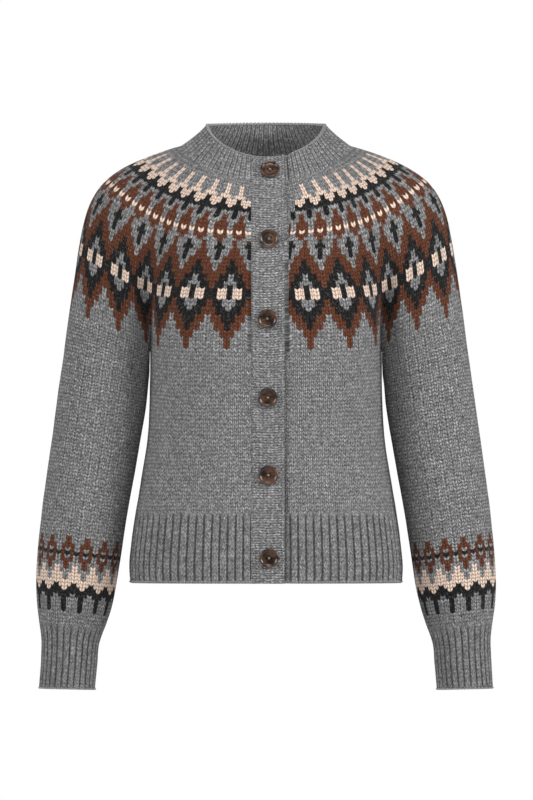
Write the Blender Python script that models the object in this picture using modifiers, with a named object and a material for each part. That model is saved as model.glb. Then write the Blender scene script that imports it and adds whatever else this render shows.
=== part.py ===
"""Crewneck cardigan with a round yoke, filled out as it is worn, with no wearer in it.

Metres, +Z up. The origin is the middle of the neck at the height of the neck points. +X is the
wearer's left, the front faces -Y and the garment hangs down along -Z. "out" is a distance from
the middle plane to either side, and "drop" is a distance below the origin.
"""

import math
from collections import namedtuple

import bmesh
import bpy
import numpy as np
from mathutils import Matrix, Vector

# Knitted wall and the gap kept between two pieces
WALL = 0.003
SEAM_GAP = 0.0003
LAYER_GAP = 0.0004
MIRROR = np.array((-1.0, 1.0, 1.0))

# Button band and buttonhole band: the seams with the two fronts and the free edges
RIGHT_SEAM = 0.0180
LEFT_SEAM = 0.0200
TOP_BAND_REACH = 0.0222
UNDER_BAND_REACH = 0.0165
DIP_START = 0.0345
DIP_END = 0.0245

# Neck: a ring for the edge of the neckband and one for its seam with the yoke
NeckRing = namedtuple("NeckRing", "half_width front back side_drop front_drop back_drop")
NECK_EDGE = NeckRing(0.0712, 0.0680, 0.0550, -0.0262, 0.0128, -0.0280)
NECK_SEAM = NeckRing(0.1020, 0.0890, 0.0790, 0.0000, 0.0430, 0.0100)
NECK_DIP_POWER = 1.3

# Yoke: slopes in degrees below the horizontal, and pulls, which are how far each slope carries
Slopes = namedtuple("Slopes", "front side back")
YOKE_START_SLOPE = Slopes(62.0, 15.4, 50.0)
YOKE_START_PULL = Slopes(0.190, 0.395, 0.190)
BAND_SEAM_SLOPE = Slopes(60.0, 36.0, 58.0)
BAND_EDGE_SLOPE = Slopes(46.0, 52.0, 68.0)
YOKE_END_PULL = 0.200
YOKE_END_PULL_OUTSIDE = 0.435
FOLD_PULL = 0.300
FOLD_REACH = 0.050
FOLD_LEAN = 1.00
FOLD_SOFTNESS = 0.060
FOLD_SOFT_REACH = 0.090
FOLD_SOFT_START = 0.30
SLEEVE_LEAN = 9.0

# Body: half widths and depths at a drop, as a superellipse
BODY_POWER = 2.5
YOKE_DROP = 0.2470
UNDERARM_DROP = 0.2410
UNDERARM_HALF = 0.0220
RIB_DROP = 0.4404
HEM_DROP = 0.5244
BodyRing = namedtuple("BodyRing", "drop half_width front back")
BODY_RINGS = (
    BodyRing(0.2300, 0.1390, 0.1160, 0.1100),
    BodyRing(0.2640, 0.1390, 0.1155, 0.1095),
    BodyRing(0.3050, 0.1396, 0.1140, 0.1080),
    BodyRing(0.3530, 0.1425, 0.1130, 0.1070),
    BodyRing(0.4010, 0.1500, 0.1140, 0.1080),
    BodyRing(0.4404, 0.1566, 0.1160, 0.1110),
    BodyRing(0.4730, 0.1612, 0.1175, 0.1125),
    BodyRing(0.5050, 0.1642, 0.1185, 0.1135),
    BodyRing(0.5244, 0.1632, 0.1175, 0.1125),
)

# Sleeve: the middle of each ring, its half sizes and its tilt in degrees, outer side up
SLEEVE_DROP = 0.2220
SLEEVE_CLEARANCE = 0.0008
SleeveRing = namedtuple("SleeveRing", "drop out forward half_width half_depth tilt")
SLEEVE_RINGS = (
    SleeveRing(0.2220, 0.18495, 0.0000, 0.0555, 0.0520, 22.0),
    SleeveRing(0.2640, 0.19150, 0.0000, 0.0530, 0.0535, 15.0),
    SleeveRing(0.3048, 0.19680, 0.0010, 0.0535, 0.0540, 10.0),
    SleeveRing(0.3528, 0.20400, 0.0025, 0.0527, 0.0535, 9.0),
    SleeveRing(0.4008, 0.21180, 0.0045, 0.0520, 0.0525, 9.0),
    SleeveRing(0.4488, 0.21900, 0.0065, 0.0508, 0.0515, 8.0),
    SleeveRing(0.4968, 0.22500, 0.0085, 0.0497, 0.0505, 7.0),
    SleeveRing(0.5328, 0.22860, 0.0098, 0.0473, 0.0480, 6.0),
    SleeveRing(0.5568, 0.23100, 0.0104, 0.0437, 0.0445, 6.0),
    SleeveRing(0.5748, 0.23280, 0.0108, 0.0395, 0.0405, 6.0),
    SleeveRing(0.5928, 0.23460, 0.0112, 0.0354, 0.0370, 6.0),
    SleeveRing(0.6168, 0.23590, 0.0118, 0.0343, 0.0357, 4.5),
    SleeveRing(0.6508, 0.23850, 0.0125, 0.0339, 0.0350, 1.5),
)

# Buttons: one row each, the middle of its seat on the buttonhole band
BUTTON_RADIUS = 0.0117
BUTTON_HEIGHT = 0.0040
BUTTON_SEAT = 0.0003
BUTTON_STEPS = 24
BUTTON_PROFILE = (
    (0.0, 0.0),
    (0.0095, 0.0),
    (BUTTON_RADIUS, 0.0012),
    (BUTTON_RADIUS, 0.0027),
    (0.0109, BUTTON_HEIGHT),
    (0.0094, BUTTON_HEIGHT),
    (0.0081, 0.0028),
    (0.0, 0.0024),
)
HOLE_RADIUS = 0.0010
HOLE_SPREAD = 0.0019
HOLE_SIDES = 8
ButtonPlace = namedtuple("ButtonPlace", "drop across")
BUTTON_PLACES = (
    ButtonPlace(0.0300, 0.0048),
    ButtonPlace(0.1123, 0.0036),
    ButtonPlace(0.2076, 0.0017),
    ButtonPlace(0.3018, 0.0023),
    ButtonPlace(0.3948, 0.0028),
    ButtonPlace(0.4938, 0.0036),
)

# How finely the lofts are cut
Columns = namedtuple("Columns", "front underarm sleeve back")
CUT_COLUMNS = Columns(8, 2, 14, 8)
FORM_COLUMNS = Columns(48, 2, 64, 48)
YOKE_ROWS = 9
BAND_ROWS = 3
BODY_ROWS = (0.0, 0.035, 0.30, 0.55, 0.78, 1.0)
HEM_ROWS = 3
SLEEVE_ROWS = (0.2220, 0.2280, 0.2640, 0.3048, 0.3528, 0.4008, 0.4488, 0.4968, 0.5328, 0.5568, 0.5748)
CUFF_ROWS = (0.5748, 0.5928, 0.6168, 0.6508)
TOP_BAND_COLUMNS = (-RIGHT_SEAM, -0.0060, 0.0080, TOP_BAND_REACH)
UNDER_BAND_COLUMNS = (-UNDER_BAND_REACH, 0.0020, LEFT_SEAM - SEAM_GAP)
NEAR_MIDDLE = 0.00001
OUTLINE_STEPS = 181
COLUMN_STEPS = 65
FORM_ROWS = 48

# Colour, roughness of each material
Finish = namedtuple("Finish", "colour roughness")
WOOL = Finish((0.212, 0.212, 0.216), 0.95)
PATTERN_WOOL = Finish((0.130, 0.070, 0.050), 0.95)
RIB_WOOL = Finish((0.195, 0.195, 0.199), 0.95)
HORN = Finish((0.035, 0.016, 0.008), 0.30)
RIBBED = ("neckband", "hem", "cuff", "button")


def hermite(start, start_pull, end, end_pull, at):
    """A cubic from start to end that leaves and arrives along the two pulls."""
    rise = at * at * (3.0 - 2.0 * at)
    leave = at * (1.0 - at) ** 2
    arrive = at * at * (at - 1.0)
    return start * (1.0 - rise) + end * rise + start_pull * leave + end_pull * arrive


def read(table, column, drops):
    """One column of a table, read smoothly at the given drops."""
    keys = np.array([row.drop for row in table])
    values = np.array([getattr(row, column) for row in table])
    slopes = np.gradient(values, keys)
    low = np.clip(np.searchsorted(keys, drops) - 1, 0, len(keys) - 2)
    span = keys[low + 1] - keys[low]
    at = (drops - keys[low]) / span
    return hermite(values[low], slopes[low] * span, values[low + 1], slopes[low + 1] * span, at)


def spaced(points, fractions):
    """Points at the given fractions of a polyline's length."""
    steps = np.linalg.norm(np.diff(points, axis=0), axis=1)
    along = np.concatenate(([0.0], np.cumsum(steps)))
    along /= along[-1]
    return np.stack([np.interp(fractions, along, points[:, axis]) for axis in range(3)], axis=1)


def length(points):
    """The length of a polyline."""
    return float(np.linalg.norm(np.diff(points, axis=0), axis=1).sum())


def from_edge(points, edge):
    """A polyline that starts in the middle of the front, cut off "edge" out from the middle."""
    turn = int(np.argmax(points[:, 0]))
    start = [np.interp(edge, points[:turn, 0], points[:turn, axis]) for axis in range(3)]
    first = int(np.argmax(points[:, 0] > edge))
    return np.vstack((start, points[first:]))


def neck_ring(ring):
    """Half of a neck ring, from the middle of the front round to the middle of the back."""
    angles = np.linspace(0.0, math.pi, OUTLINE_STEPS)
    facing = np.cos(angles)
    depth = np.where(facing > 0.0, ring.front, ring.back)
    lowest = np.where(facing > 0.0, ring.front_drop, ring.back_drop)
    drop = ring.side_drop + (lowest - ring.side_drop) * np.abs(facing) ** NECK_DIP_POWER
    return np.stack((ring.half_width * np.sin(angles), -depth * facing, -drop), axis=1)


def body_outline(front_drop, side_drop):
    """Half of the body's outline at one height, from the middle front to the middle back."""
    angles = np.linspace(0.0, math.pi, OUTLINE_STEPS)
    drops = front_drop + (side_drop - front_drop) * np.sin(angles) ** 4
    facing = np.cos(angles)
    front, back = read(BODY_RINGS, "front", drops), read(BODY_RINGS, "back", drops)
    depth = np.where(facing > 0.0, front, back)
    out = read(BODY_RINGS, "half_width", drops) * np.abs(np.sin(angles)) ** (2.0 / BODY_POWER)
    deep = -np.sign(facing) * depth * np.abs(facing) ** (2.0 / BODY_POWER)
    return np.stack((out, deep, -drops), axis=1)


def body_reach(deep, drops):
    """How far out the body's outline is at a depth and a drop."""
    front, back = read(BODY_RINGS, "front", drops), read(BODY_RINGS, "back", drops)
    share = np.abs(deep) / np.where(deep < 0.0, front, back)
    flat = np.clip(1.0 - share**BODY_POWER, 0.0, 1.0) ** (1.0 / BODY_POWER)
    return read(BODY_RINGS, "half_width", drops) * flat


def split_outline(outline, edge):
    """An outline cut into its stretches: front, underarm front, underarm back and back."""
    path = from_edge(outline, edge)
    top = from_edge(body_outline(YOKE_DROP, UNDERARM_DROP), edge)
    side, top_side = int(np.argmax(path[:, 0])), int(np.argmax(top[:, 0]))
    before, after = path[: side + 1], path[side:]
    top_before, top_after = top[: top_side + 1], top[top_side:]
    fold = np.interp(-UNDERARM_HALF, top_before[:, 1], fractions_of(top_before))
    back_fold = np.interp(UNDERARM_HALF, top_after[:, 1], fractions_of(top_after))
    return before, after, fold, back_fold


def fractions_of(points):
    """The fraction of a polyline's length at each of its points."""
    steps = np.linalg.norm(np.diff(points, axis=0), axis=1)
    along = np.concatenate(([0.0], np.cumsum(steps)))
    return along / along[-1]


def front_shares(edge, reach, columns):
    """Shares of the way from the front edge to the fold, with two short steps at the band."""
    steps = (np.array((edge, DIP_END, DIP_START)) - edge) / reach
    return np.concatenate((steps, np.linspace(steps[-1], 1.0, columns.front - 1)[1:]))


def body_row(front_drop, side_drop, edge, columns):
    """One row of the body's half, in its columns: front, both underarm halves and back."""
    before, after, fold, back_fold = split_outline(body_outline(front_drop, side_drop), edge)
    front = spaced(before, front_shares(edge, length(before) * fold, columns) * fold)
    under_front = spaced(before, np.linspace(fold, 1.0, columns.underarm + 1))
    under_back = spaced(after, np.linspace(0.0, back_fold, columns.underarm + 1))
    back = spaced(after, np.linspace(back_fold, 1.0, columns.back + 1))
    return front, under_front, under_back, back


def sleeve_row(drop, columns, body_top=None):
    """One ring of a sleeve, from the underarm seam round the front, outside and back.

    The first ring is given the top row of the body, and shares its underarm points.
    """
    out, forward, half_width, half_depth, tilt = (
        float(read(SLEEVE_RINGS, column, np.array(drop))) for column in SleeveRing._fields[1:]
    )
    fold = math.asin(UNDERARM_HALF / half_depth)
    lean = math.radians(tilt)
    clearance = SLEEVE_CLEARANCE if body_top is None else 0.0

    def ring(angles):
        across = half_width * np.cos(angles)
        deep = -forward - half_depth * np.sin(angles)
        drops = drop + across * math.sin(lean)
        clear = body_reach(deep, np.minimum(drops, HEM_DROP)) + clearance
        return np.stack((np.maximum(out - across * math.cos(lean), clear), deep, -drops), axis=1)

    outer = spaced(
        ring(np.linspace(fold, 2.0 * math.pi - fold, OUTLINE_STEPS)),
        np.linspace(0.0, 1.0, columns.sleeve + 1),
    )
    under = ring(np.linspace(-fold, fold, 2 * columns.underarm + 1))
    under_back, under_front = under[: columns.underarm + 1], under[columns.underarm :]
    if body_top is not None:
        under_front, under_back = body_top[1][::-1], body_top[2][::-1]
        outer[0], outer[-1] = under_front[-1], under_back[0]
    return under_front, outer, under_back


def blend(slopes, facing):
    """A value read between front, side and back by how squarely the neck ring faces each."""
    end = np.where(facing < 0.0, slopes.front, slopes.back)
    return slopes.side + (end - slopes.side) * np.abs(facing) ** 1.5


def downhill(points, slopes, edge):
    """Unit directions outward from the neck and down by a slope, straight ahead at the edge."""
    scale = np.array((NECK_SEAM.half_width, NECK_SEAM.front))
    radial = points[:, :2] / scale
    radial /= np.linalg.norm(radial, axis=1)[:, None]
    angle = np.radians(blend(slopes, radial[:, 1]))
    eased = np.clip((points[:, 0] - edge) / FOLD_REACH, 0.0, 1.0)
    eased = np.where(radial[:, 1] < 0.0, eased, 1.0)
    level = np.stack((radial[:, 0] * eased, radial[:, 1]), axis=1)
    level /= np.linalg.norm(level, axis=1)[:, None]
    return np.column_stack((level * np.cos(angle)[:, None], -np.sin(angle))), radial[:, 1]


def neck_points(ring, edge, shares):
    """Points of half a neck ring, at 0 to 1 along its front quarter and 1 to 2 along its back."""
    path = from_edge(neck_ring(ring), edge)
    side = int(np.argmax(path[:, 0]))
    front = spaced(path[: side + 1], shares[shares <= 1.0])
    back = spaced(path[side:], shares[shares > 1.0] - 1.0)
    return np.vstack((front, back))


def yoke_border(edge, columns):
    """The lower edge of half of the yoke, and where each of its points is on the way round.

    A place counts 0 to 1 along the front, 1 to 2 round the sleeve and 2 to 3 along the back.
    """
    row = body_row(YOKE_DROP, UNDERARM_DROP, edge, columns)
    outer = sleeve_row(SLEEVE_DROP, columns, row)[1]
    places = (
        fractions_of(row[0]),
        np.linspace(1.0, 2.0, columns.sleeve + 1)[1:-1],
        np.linspace(2.0, 3.0, columns.back + 1),
    )
    return np.vstack((row[0], outer[1:-1], row[3])), np.concatenate(places)


def softened(grid, along, edge):
    """A yoke with its two folds eased away towards the neck."""
    before, after = grid[:, :0:-1] * MIRROR, grid[:, -2::-1] * MIRROR
    before[..., 0] += 2.0 * edge
    wide = np.hstack((before, grid, after))
    end = along[-1]
    wide_along = np.concatenate((-along[:0:-1], along, 2.0 * end - along[-2::-1]))
    apart = (along[:, None] - wide_along[None, :]) ** 2
    folds = [along[FORM_COLUMNS.front], along[FORM_COLUMNS.front + FORM_COLUMNS.sleeve]]
    near = sum(np.exp(-(((along - fold) / FOLD_SOFT_REACH) ** 2)) for fold in folds)
    result = grid.copy()
    for row, share in enumerate(np.linspace(0.0, 1.0, len(grid))[1:-1], start=1):
        weights = np.exp(-apart / (2.0 * (FOLD_SOFTNESS * (1.0 - share)) ** 2))
        mean = weights @ wide[row] / weights.sum(axis=1)[:, None]
        start = min(share / FOLD_SOFT_START, 1.0)
        strength = np.clip(near, 0.0, 1.0) * start * start * (3.0 - 2.0 * start)
        result[row] += (mean - grid[row]) * strength[:, None]
    return result


def yoke_half(edge, columns):
    """Rows and columns of half of the yoke, and the neck shares that its columns start at."""
    end, places = yoke_border(edge, FORM_COLUMNS)
    fold, back_fold = FORM_COLUMNS.front, FORM_COLUMNS.front + FORM_COLUMNS.sleeve
    ridge = (fold + back_fold) // 2
    shares = np.concatenate((fractions_of(end[: ridge + 1]), 1.0 + fractions_of(end[ridge:])[1:]))
    start = neck_points(NECK_SEAM, edge, shares)

    leave, facing = downhill(start, YOKE_START_SLOPE, edge)
    leave *= blend(YOKE_START_PULL, facing)[:, None]
    inside, outside = end[fold, 0], end[ridge, 0]
    reach = np.clip((end[:, 0] - inside) / (outside - inside), 0.0, 1.0)
    lean = np.radians(SLEEVE_LEAN) * reach
    arrive = np.stack((np.sin(lean), np.zeros(len(end)), -np.cos(lean)), axis=1)
    arrive *= (YOKE_END_PULL + (YOKE_END_PULL_OUTSIDE - YOKE_END_PULL) * reach)[:, None]
    for crease, inward in ((end[fold], 1.0), (end[back_fold], -1.0)):
        near = np.exp(-((np.linalg.norm(end - crease, axis=1) / FOLD_REACH) ** 2))[:, None]
        turned = np.array((0.0, inward * FOLD_LEAN, -1.0))
        turned *= FOLD_PULL / np.linalg.norm(turned)
        arrive = arrive * (1.0 - near) + turned * near

    at = np.linspace(0.0, 1.0, COLUMN_STEPS)[:, None]
    rows = np.linspace(0.0, 1.0, FORM_ROWS + 1)
    grid = np.stack(
        [spaced(hermite(*four, at), rows) for four in zip(start, leave, end, arrive)], axis=1
    )
    along = np.concatenate(([0.0], np.cumsum(np.linalg.norm(np.diff(end, axis=0), axis=1))))
    grid = softened(grid, along, edge)

    border, wanted = yoke_border(edge, columns)
    grid = between(between(grid, rows, np.linspace(0.0, 1.0, YOKE_ROWS + 1)), places, wanted, 1)
    grid[-1] = border
    return grid, np.interp(wanted, places, shares)


def between(grid, keys, wanted, axis=0):
    """A grid read at new places along one of its two directions."""
    low = np.clip(np.searchsorted(keys, wanted, side="right") - 1, 0, len(keys) - 2)
    at = (wanted - keys[low]) / (keys[low + 1] - keys[low])
    at = at[:, None, None] if axis == 0 else at[None, :, None]
    return np.take(grid, low, axis) * (1.0 - at) + np.take(grid, low + 1, axis) * at


def neckband_half(edge, shares):
    """Rows and columns of half of the neckband, from its open edge down to the yoke."""
    top = neck_points(NECK_EDGE, edge, shares)
    seam = neck_points(NECK_SEAM, edge, shares)
    width = np.linalg.norm(seam - top, axis=1)[:, None]
    leave = downhill(top, BAND_EDGE_SLOPE, edge)[0] * width
    arrive = downhill(seam, BAND_SEAM_SLOPE, edge)[0] * width
    rows = [hermite(top, leave, seam, arrive, at) for at in np.linspace(0.0, 1.0, BAND_ROWS + 1)]
    return np.stack(rows)


def grid_faces(grid):
    """Area normals of a grid's cells, outward for rows that run down and columns to the left."""
    return np.cross(grid[1:, 1:] - grid[:-1, :-1], grid[:-1, 1:] - grid[1:, :-1])


def shared_normals(grids, upright=()):
    """Unit normals at the points of each grid, one and the same where two grids meet.

    At the upright points, where two walls stand side by side, they lean to neither side.
    """
    sums = {}
    keys = [np.round(grid * 1e5).astype(int) for grid in grids]
    for grid, key in zip(grids, keys):
        faces = grid_faces(grid)
        for row in range(faces.shape[0]):
            for column in range(faces.shape[1]):
                for step in ((0, 0), (1, 0), (0, 1), (1, 1)):
                    corner = tuple(key[row + step[0], column + step[1]])
                    sums[corner] = sums.get(corner, 0.0) + faces[row, column]
    for point in upright:
        sums[tuple(np.round(point * 1e5).astype(int))][0] = 0.0
    result = []
    for key in keys:
        flat = np.array([sums[tuple(corner)] for corner in key.reshape(-1, 3)])
        flat /= np.linalg.norm(flat, axis=1)[:, None]
        result.append(flat.reshape(key.shape))
    return result


def pulled_back(grid, outer, rounded):
    """A grid's points moved by half a seam gap away from its own borders."""
    moved = grid.copy()
    lines = [(0, 1), (-1, -2)]
    for border, inside in lines:
        step = outer[inside] - outer[border]
        moved[border] += step / np.linalg.norm(step, axis=1)[:, None] * SEAM_GAP / 2.0
    if not rounded:
        for border, inside in lines:
            step = outer[:, inside] - outer[:, border]
            moved[:, border] += step / np.linalg.norm(step, axis=1)[:, None] * SEAM_GAP / 2.0
    return moved


def finish(name, look):
    """A plain material of one colour."""
    material = bpy.data.materials.new(name)
    material.use_nodes = True
    shader = material.node_tree.nodes["Principled BSDF"]
    shader.inputs["Base Color"].default_value = (*look.colour, 1.0)
    shader.inputs["Roughness"].default_value = look.roughness
    shader.inputs["Metallic"].default_value = 0.0
    return material


def add_rim(mesh, skin_start, back_start, back_end, skin_end):
    """One cell of a border, turned so that the walls on both sides of a seam split it alike."""
    corners = [skin_start, back_start, back_end, skin_end]
    if abs(skin_start.co.y) > abs(skin_end.co.y):
        corners = corners[-1:] + corners[:-1]
    mesh.faces.new(corners)


def add_wall(name, outer, normals, look, rounded, shift):
    """A knitted wall: an outer grid of points, the same points moved in, and its four borders."""
    inner = outer - normals * WALL
    outer_points = pulled_back(outer, outer, rounded) + shift
    inner_points = pulled_back(inner, outer, rounded) + shift
    if rounded:
        outer_points, inner_points = outer_points[:, :-1], inner_points[:, :-1]
    rows, columns = outer_points.shape[:2]
    mesh = bmesh.new()
    skin = [[mesh.verts.new(point) for point in row] for row in outer_points]
    back = [[mesh.verts.new(point) for point in row] for row in inner_points]
    for row in range(rows - 1):
        for column in range(columns if rounded else columns - 1):
            nxt = (column + 1) % columns
            corners = ((row, column), (row + 1, column), (row + 1, nxt), (row, nxt))
            mesh.faces.new([skin[i][j] for i, j in corners])
            mesh.faces.new([back[i][j] for i, j in corners[:1] + corners[:0:-1]])
    for column in range(columns if rounded else columns - 1):
        nxt = (column + 1) % columns
        add_rim(mesh, skin[0][nxt], back[0][nxt], back[0][column], skin[0][column])
        add_rim(mesh, skin[-1][column], back[-1][column], back[-1][nxt], skin[-1][nxt])
    if not rounded:
        for row in range(rows - 1):
            add_rim(mesh, skin[row][0], back[row][0], back[row + 1][0], skin[row + 1][0])
            add_rim(mesh, skin[row + 1][-1], back[row + 1][-1], back[row][-1], skin[row][-1])
    bmesh.ops.triangulate(mesh, faces=mesh.faces[:], quad_method="FIXED")
    data = bpy.data.meshes.new(name)
    mesh.to_mesh(data)
    mesh.free()
    data.materials.append(finish(name, look))
    wall = bpy.data.objects.new(name, data)
    bpy.context.collection.objects.link(wall)
    return wall


def body_rows():
    """The drop in front and at the side of each row of the body, then of the hem."""
    shares = np.array(BODY_ROWS)
    front = YOKE_DROP + (RIB_DROP - YOKE_DROP) * shares
    side = UNDERARM_DROP + (RIB_DROP - UNDERARM_DROP) * shares
    hem = np.linspace(RIB_DROP, HEM_DROP, HEM_ROWS + 1)
    return list(zip(front, side)), list(zip(hem, hem))


def side_grids(edge):
    """Every grid of one side of the garment, as the wearer's left."""
    yoke, shares = yoke_half(edge, CUT_COLUMNS)
    grids = {"neckband": neckband_half(edge, shares), "yoke": yoke}
    body, hem = ([body_row(*drops, edge, CUT_COLUMNS) for drops in rows] for rows in body_rows())
    for front, back, rows in (("front", "back", body), ("hem_front", "hem_back", hem)):
        grids[front] = np.stack([np.vstack((row[0], row[1][1:])) for row in rows])
        grids[back] = np.stack([np.vstack((row[2], row[3][1:])) for row in rows])
    for name, drops in (("sleeve", SLEEVE_ROWS), ("cuff", CUFF_ROWS)):
        rings = [
            sleeve_row(drop, CUT_COLUMNS, body[0] if drop == SLEEVE_DROP else None)
            for drop in drops
        ]
        grids[name] = np.stack([np.vstack((r[0], r[1][1:], r[2][1:])) for r in rings])
    return grids


def dipped(grids):
    """A side's grids, sunk by one layer where they run under the buttonhole band."""
    names = ("neckband", "yoke", "front", "hem_front")
    sunk = dict(grids)
    for name, normals in zip(names, shared_normals([grids[name] for name in names])):
        grid = grids[name]
        ease = np.clip((DIP_START - grid[..., 0]) / (DIP_START - DIP_END), 0.0, 1.0)
        ease = np.where(grid[..., 1] < 0.0, ease * ease * (3.0 - 2.0 * ease), 0.0)
        sunk[name] = grid - normals * (ease * (WALL + LAYER_GAP))[..., None]
    return sunk


def edge_line(across):
    """The front's surface from the neck edge down to the hem at one place across."""
    edge = max(abs(across), NEAR_MIDDLE)
    rows = [neckband_half(edge, np.array((0.0, 1.0)))[:, 0]]
    rows += [yoke_half(edge, CUT_COLUMNS)[0][1:, 0]]
    body, hem = body_rows()
    rows += [from_edge(body_outline(*drops), edge)[:1] for drops in body[1:] + hem[1:]]
    line = np.vstack(rows)
    line[:, 0] *= math.copysign(1.0, across)
    return line


def mirrored(grid):
    """A grid of the wearer's left turned into the wearer's right."""
    return grid[:, ::-1] * MIRROR


def joined(left, right):
    """A grid that runs from one side round through the shared middle column to the other."""
    return np.hstack((left, right[:, 1:]))


def garment_grids():
    """The outer surface of every knitted piece, rows down and columns to the wearer's left."""
    left, right = dipped(side_grids(LEFT_SEAM)), side_grids(RIGHT_SEAM)
    right = {name: mirrored(grid) for name, grid in right.items()}
    top_band = np.stack([edge_line(place) for place in TOP_BAND_COLUMNS], axis=1)
    under_band = np.stack([edge_line(place) for place in UNDER_BAND_COLUMNS], axis=1)
    under_band = under_band - shared_normals([under_band])[0] * (WALL + LAYER_GAP)
    return {
        "neckband": joined(left["neckband"], right["neckband"]),
        "yoke": joined(left["yoke"], right["yoke"]),
        "front_left": left["front"],
        "front_right": right["front"],
        "back": joined(left["back"], right["back"]),
        "hem_left": left["hem_front"],
        "hem_right": right["hem_front"],
        "hem_back": joined(left["hem_back"], right["hem_back"]),
        "sleeve_left": left["sleeve"],
        "sleeve_right": right["sleeve"],
        "cuff_left": left["cuff"],
        "cuff_right": right["cuff"],
        "buttonhole_band": top_band,
        "button_band": under_band,
    }


def underarm(grid):
    """Which points of a grid's first row are on the underarm seam."""
    return np.abs(grid[0, :, 1]) < UNDERARM_HALF + NEAR_MIDDLE


def underarm_shift(name, grid):
    """A step sideways for the underarm edge, where a sleeve stands beside the body."""
    shift = np.zeros_like(grid)
    under = underarm(grid)
    toward = np.sign(grid[0, under, 0]) * SEAM_GAP / 2.0
    if name.startswith("sleeve"):
        shift[0, under, 0] = toward
    if name.startswith(("front", "back")):
        shift[0, under, 0] = -toward
    return shift


def button_seat(place):
    """Where a button sits on the buttonhole band, and how far its face leans back."""
    line = edge_line(place.across)
    below = int(np.argmax(line[:, 2] < -place.drop))
    upper, lower = Vector(line[below - 1]), Vector(line[below])
    share = (upper.z + place.drop) / (upper.z - lower.z)
    along = (lower - upper).normalized()
    outward = Vector((0.0, along.z, -along.y))
    return upper.lerp(lower, share) + outward * BUTTON_SEAT, math.atan2(-outward.y, outward.z)


def button_mesh():
    """A turned button with a raised rim, a dished middle and four holes."""
    profile = bpy.data.meshes.new("button_profile")
    points = [(radius, 0.0, height) for radius, height in BUTTON_PROFILE]
    profile.from_pydata(points, [(k, k + 1) for k in range(len(points) - 1)], [])
    turned = bpy.data.objects.new("button_turned", profile)
    bpy.context.collection.objects.link(turned)
    screw = turned.modifiers.new("Turn", "SCREW")
    screw.steps = BUTTON_STEPS
    screw.render_steps = BUTTON_STEPS
    screw.use_merge_vertices = True
    screw.merge_threshold = NEAR_MIDDLE
    screw.use_normal_calculate = True
    drills = bmesh.new()
    for across, along in ((1, 1), (-1, 1), (-1, -1), (1, -1)):
        middle = Vector((across, along, 1.0)) * HOLE_SPREAD
        bmesh.ops.create_cone(
            drills, cap_ends=True, segments=HOLE_SIDES, radius1=HOLE_RADIUS,
            radius2=HOLE_RADIUS, depth=2.0 * BUTTON_HEIGHT, matrix=Matrix.Translation(middle),
        )
    cutter_data = bpy.data.meshes.new("button_drills")
    drills.to_mesh(cutter_data)
    drills.free()
    cutter = bpy.data.objects.new("button_drills", cutter_data)
    bpy.context.collection.objects.link(cutter)
    cut = turned.modifiers.new("Holes", "BOOLEAN")
    cut.operation = "DIFFERENCE"
    cut.solver = "EXACT"
    cut.object = cutter
    bpy.context.view_layer.update()
    shape = turned.evaluated_get(bpy.context.evaluated_depsgraph_get())
    result = bpy.data.meshes.new_from_object(shape)
    bpy.data.objects.remove(turned)
    bpy.data.objects.remove(cutter)
    return result


def add_buttons():
    """The six buttons, each flat on the band where it is fastened."""
    shape = button_mesh()
    for number, place in enumerate(BUTTON_PLACES, start=1):
        name = f"button_{number}"
        seat, lean = button_seat(place)
        data = shape.copy()
        data.materials.clear()
        data.materials.append(finish(name, HORN))
        button = bpy.data.objects.new(name, data)
        button.location = seat
        button.rotation_euler = (lean, 0.0, 0.0)
        bpy.context.collection.objects.link(button)


def main():
    """Clear the scene and build every piece."""
    for old in list(bpy.data.objects):
        bpy.data.objects.remove(old)
    grids = garment_grids()
    sleeves = (grids["sleeve_left"], grids["sleeve_right"])
    upright = np.vstack([sleeve[0, underarm(sleeve)] for sleeve in sleeves])
    for (name, grid), normals in zip(grids.items(), shared_normals(list(grids.values()), upright)):
        look = RIB_WOOL if name.startswith(RIBBED) else WOOL
        look = PATTERN_WOOL if name == "yoke" else look
        rounded = name.startswith(("sleeve", "cuff"))
        add_wall(name, grid, normals, look, rounded, underarm_shift(name, grid))
    add_buttons()


if __name__ == "__main__":
    main()
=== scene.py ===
"""Looks of a round-yoke crewneck cardigan, filled out as it is worn, with no wearer in it.

Metres, +Z up. The origin is the middle of the neck at the height of the neck points. +X is the
wearer's left, the front faces -Y and the garment hangs down along -Z. "out" is a distance from
the middle plane to either side, and "drop" is a distance below the origin.
"""

import logging
import math
from dataclasses import dataclass, field, fields
from enum import Enum
from typing import ClassVar, Optional, Sequence, Union

import bmesh
import bpy
import numpy as np
from mathutils import Euler, Matrix, Vector

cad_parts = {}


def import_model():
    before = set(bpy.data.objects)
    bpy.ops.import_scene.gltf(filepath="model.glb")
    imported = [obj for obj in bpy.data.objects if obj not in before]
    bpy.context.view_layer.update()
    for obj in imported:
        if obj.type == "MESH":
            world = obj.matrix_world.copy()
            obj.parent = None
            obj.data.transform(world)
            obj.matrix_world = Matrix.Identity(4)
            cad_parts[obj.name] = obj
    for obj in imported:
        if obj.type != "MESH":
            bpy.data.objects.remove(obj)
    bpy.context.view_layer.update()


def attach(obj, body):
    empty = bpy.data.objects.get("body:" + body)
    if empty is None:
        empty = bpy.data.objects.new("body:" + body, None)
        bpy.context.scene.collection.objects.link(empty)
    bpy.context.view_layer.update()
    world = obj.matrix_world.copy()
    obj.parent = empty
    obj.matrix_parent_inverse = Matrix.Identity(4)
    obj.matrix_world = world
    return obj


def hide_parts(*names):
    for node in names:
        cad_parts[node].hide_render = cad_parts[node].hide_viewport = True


LOG = logging.getLogger("cardigan")
BODY = "root"
MIRROR = np.array((-1.0, 1.0, 1.0))
NEAR_MIDDLE = 0.00001
SHORTEST = 1e-12
OUTLINE_STEPS = 361
COLUMN_STEPS = 65
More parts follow.
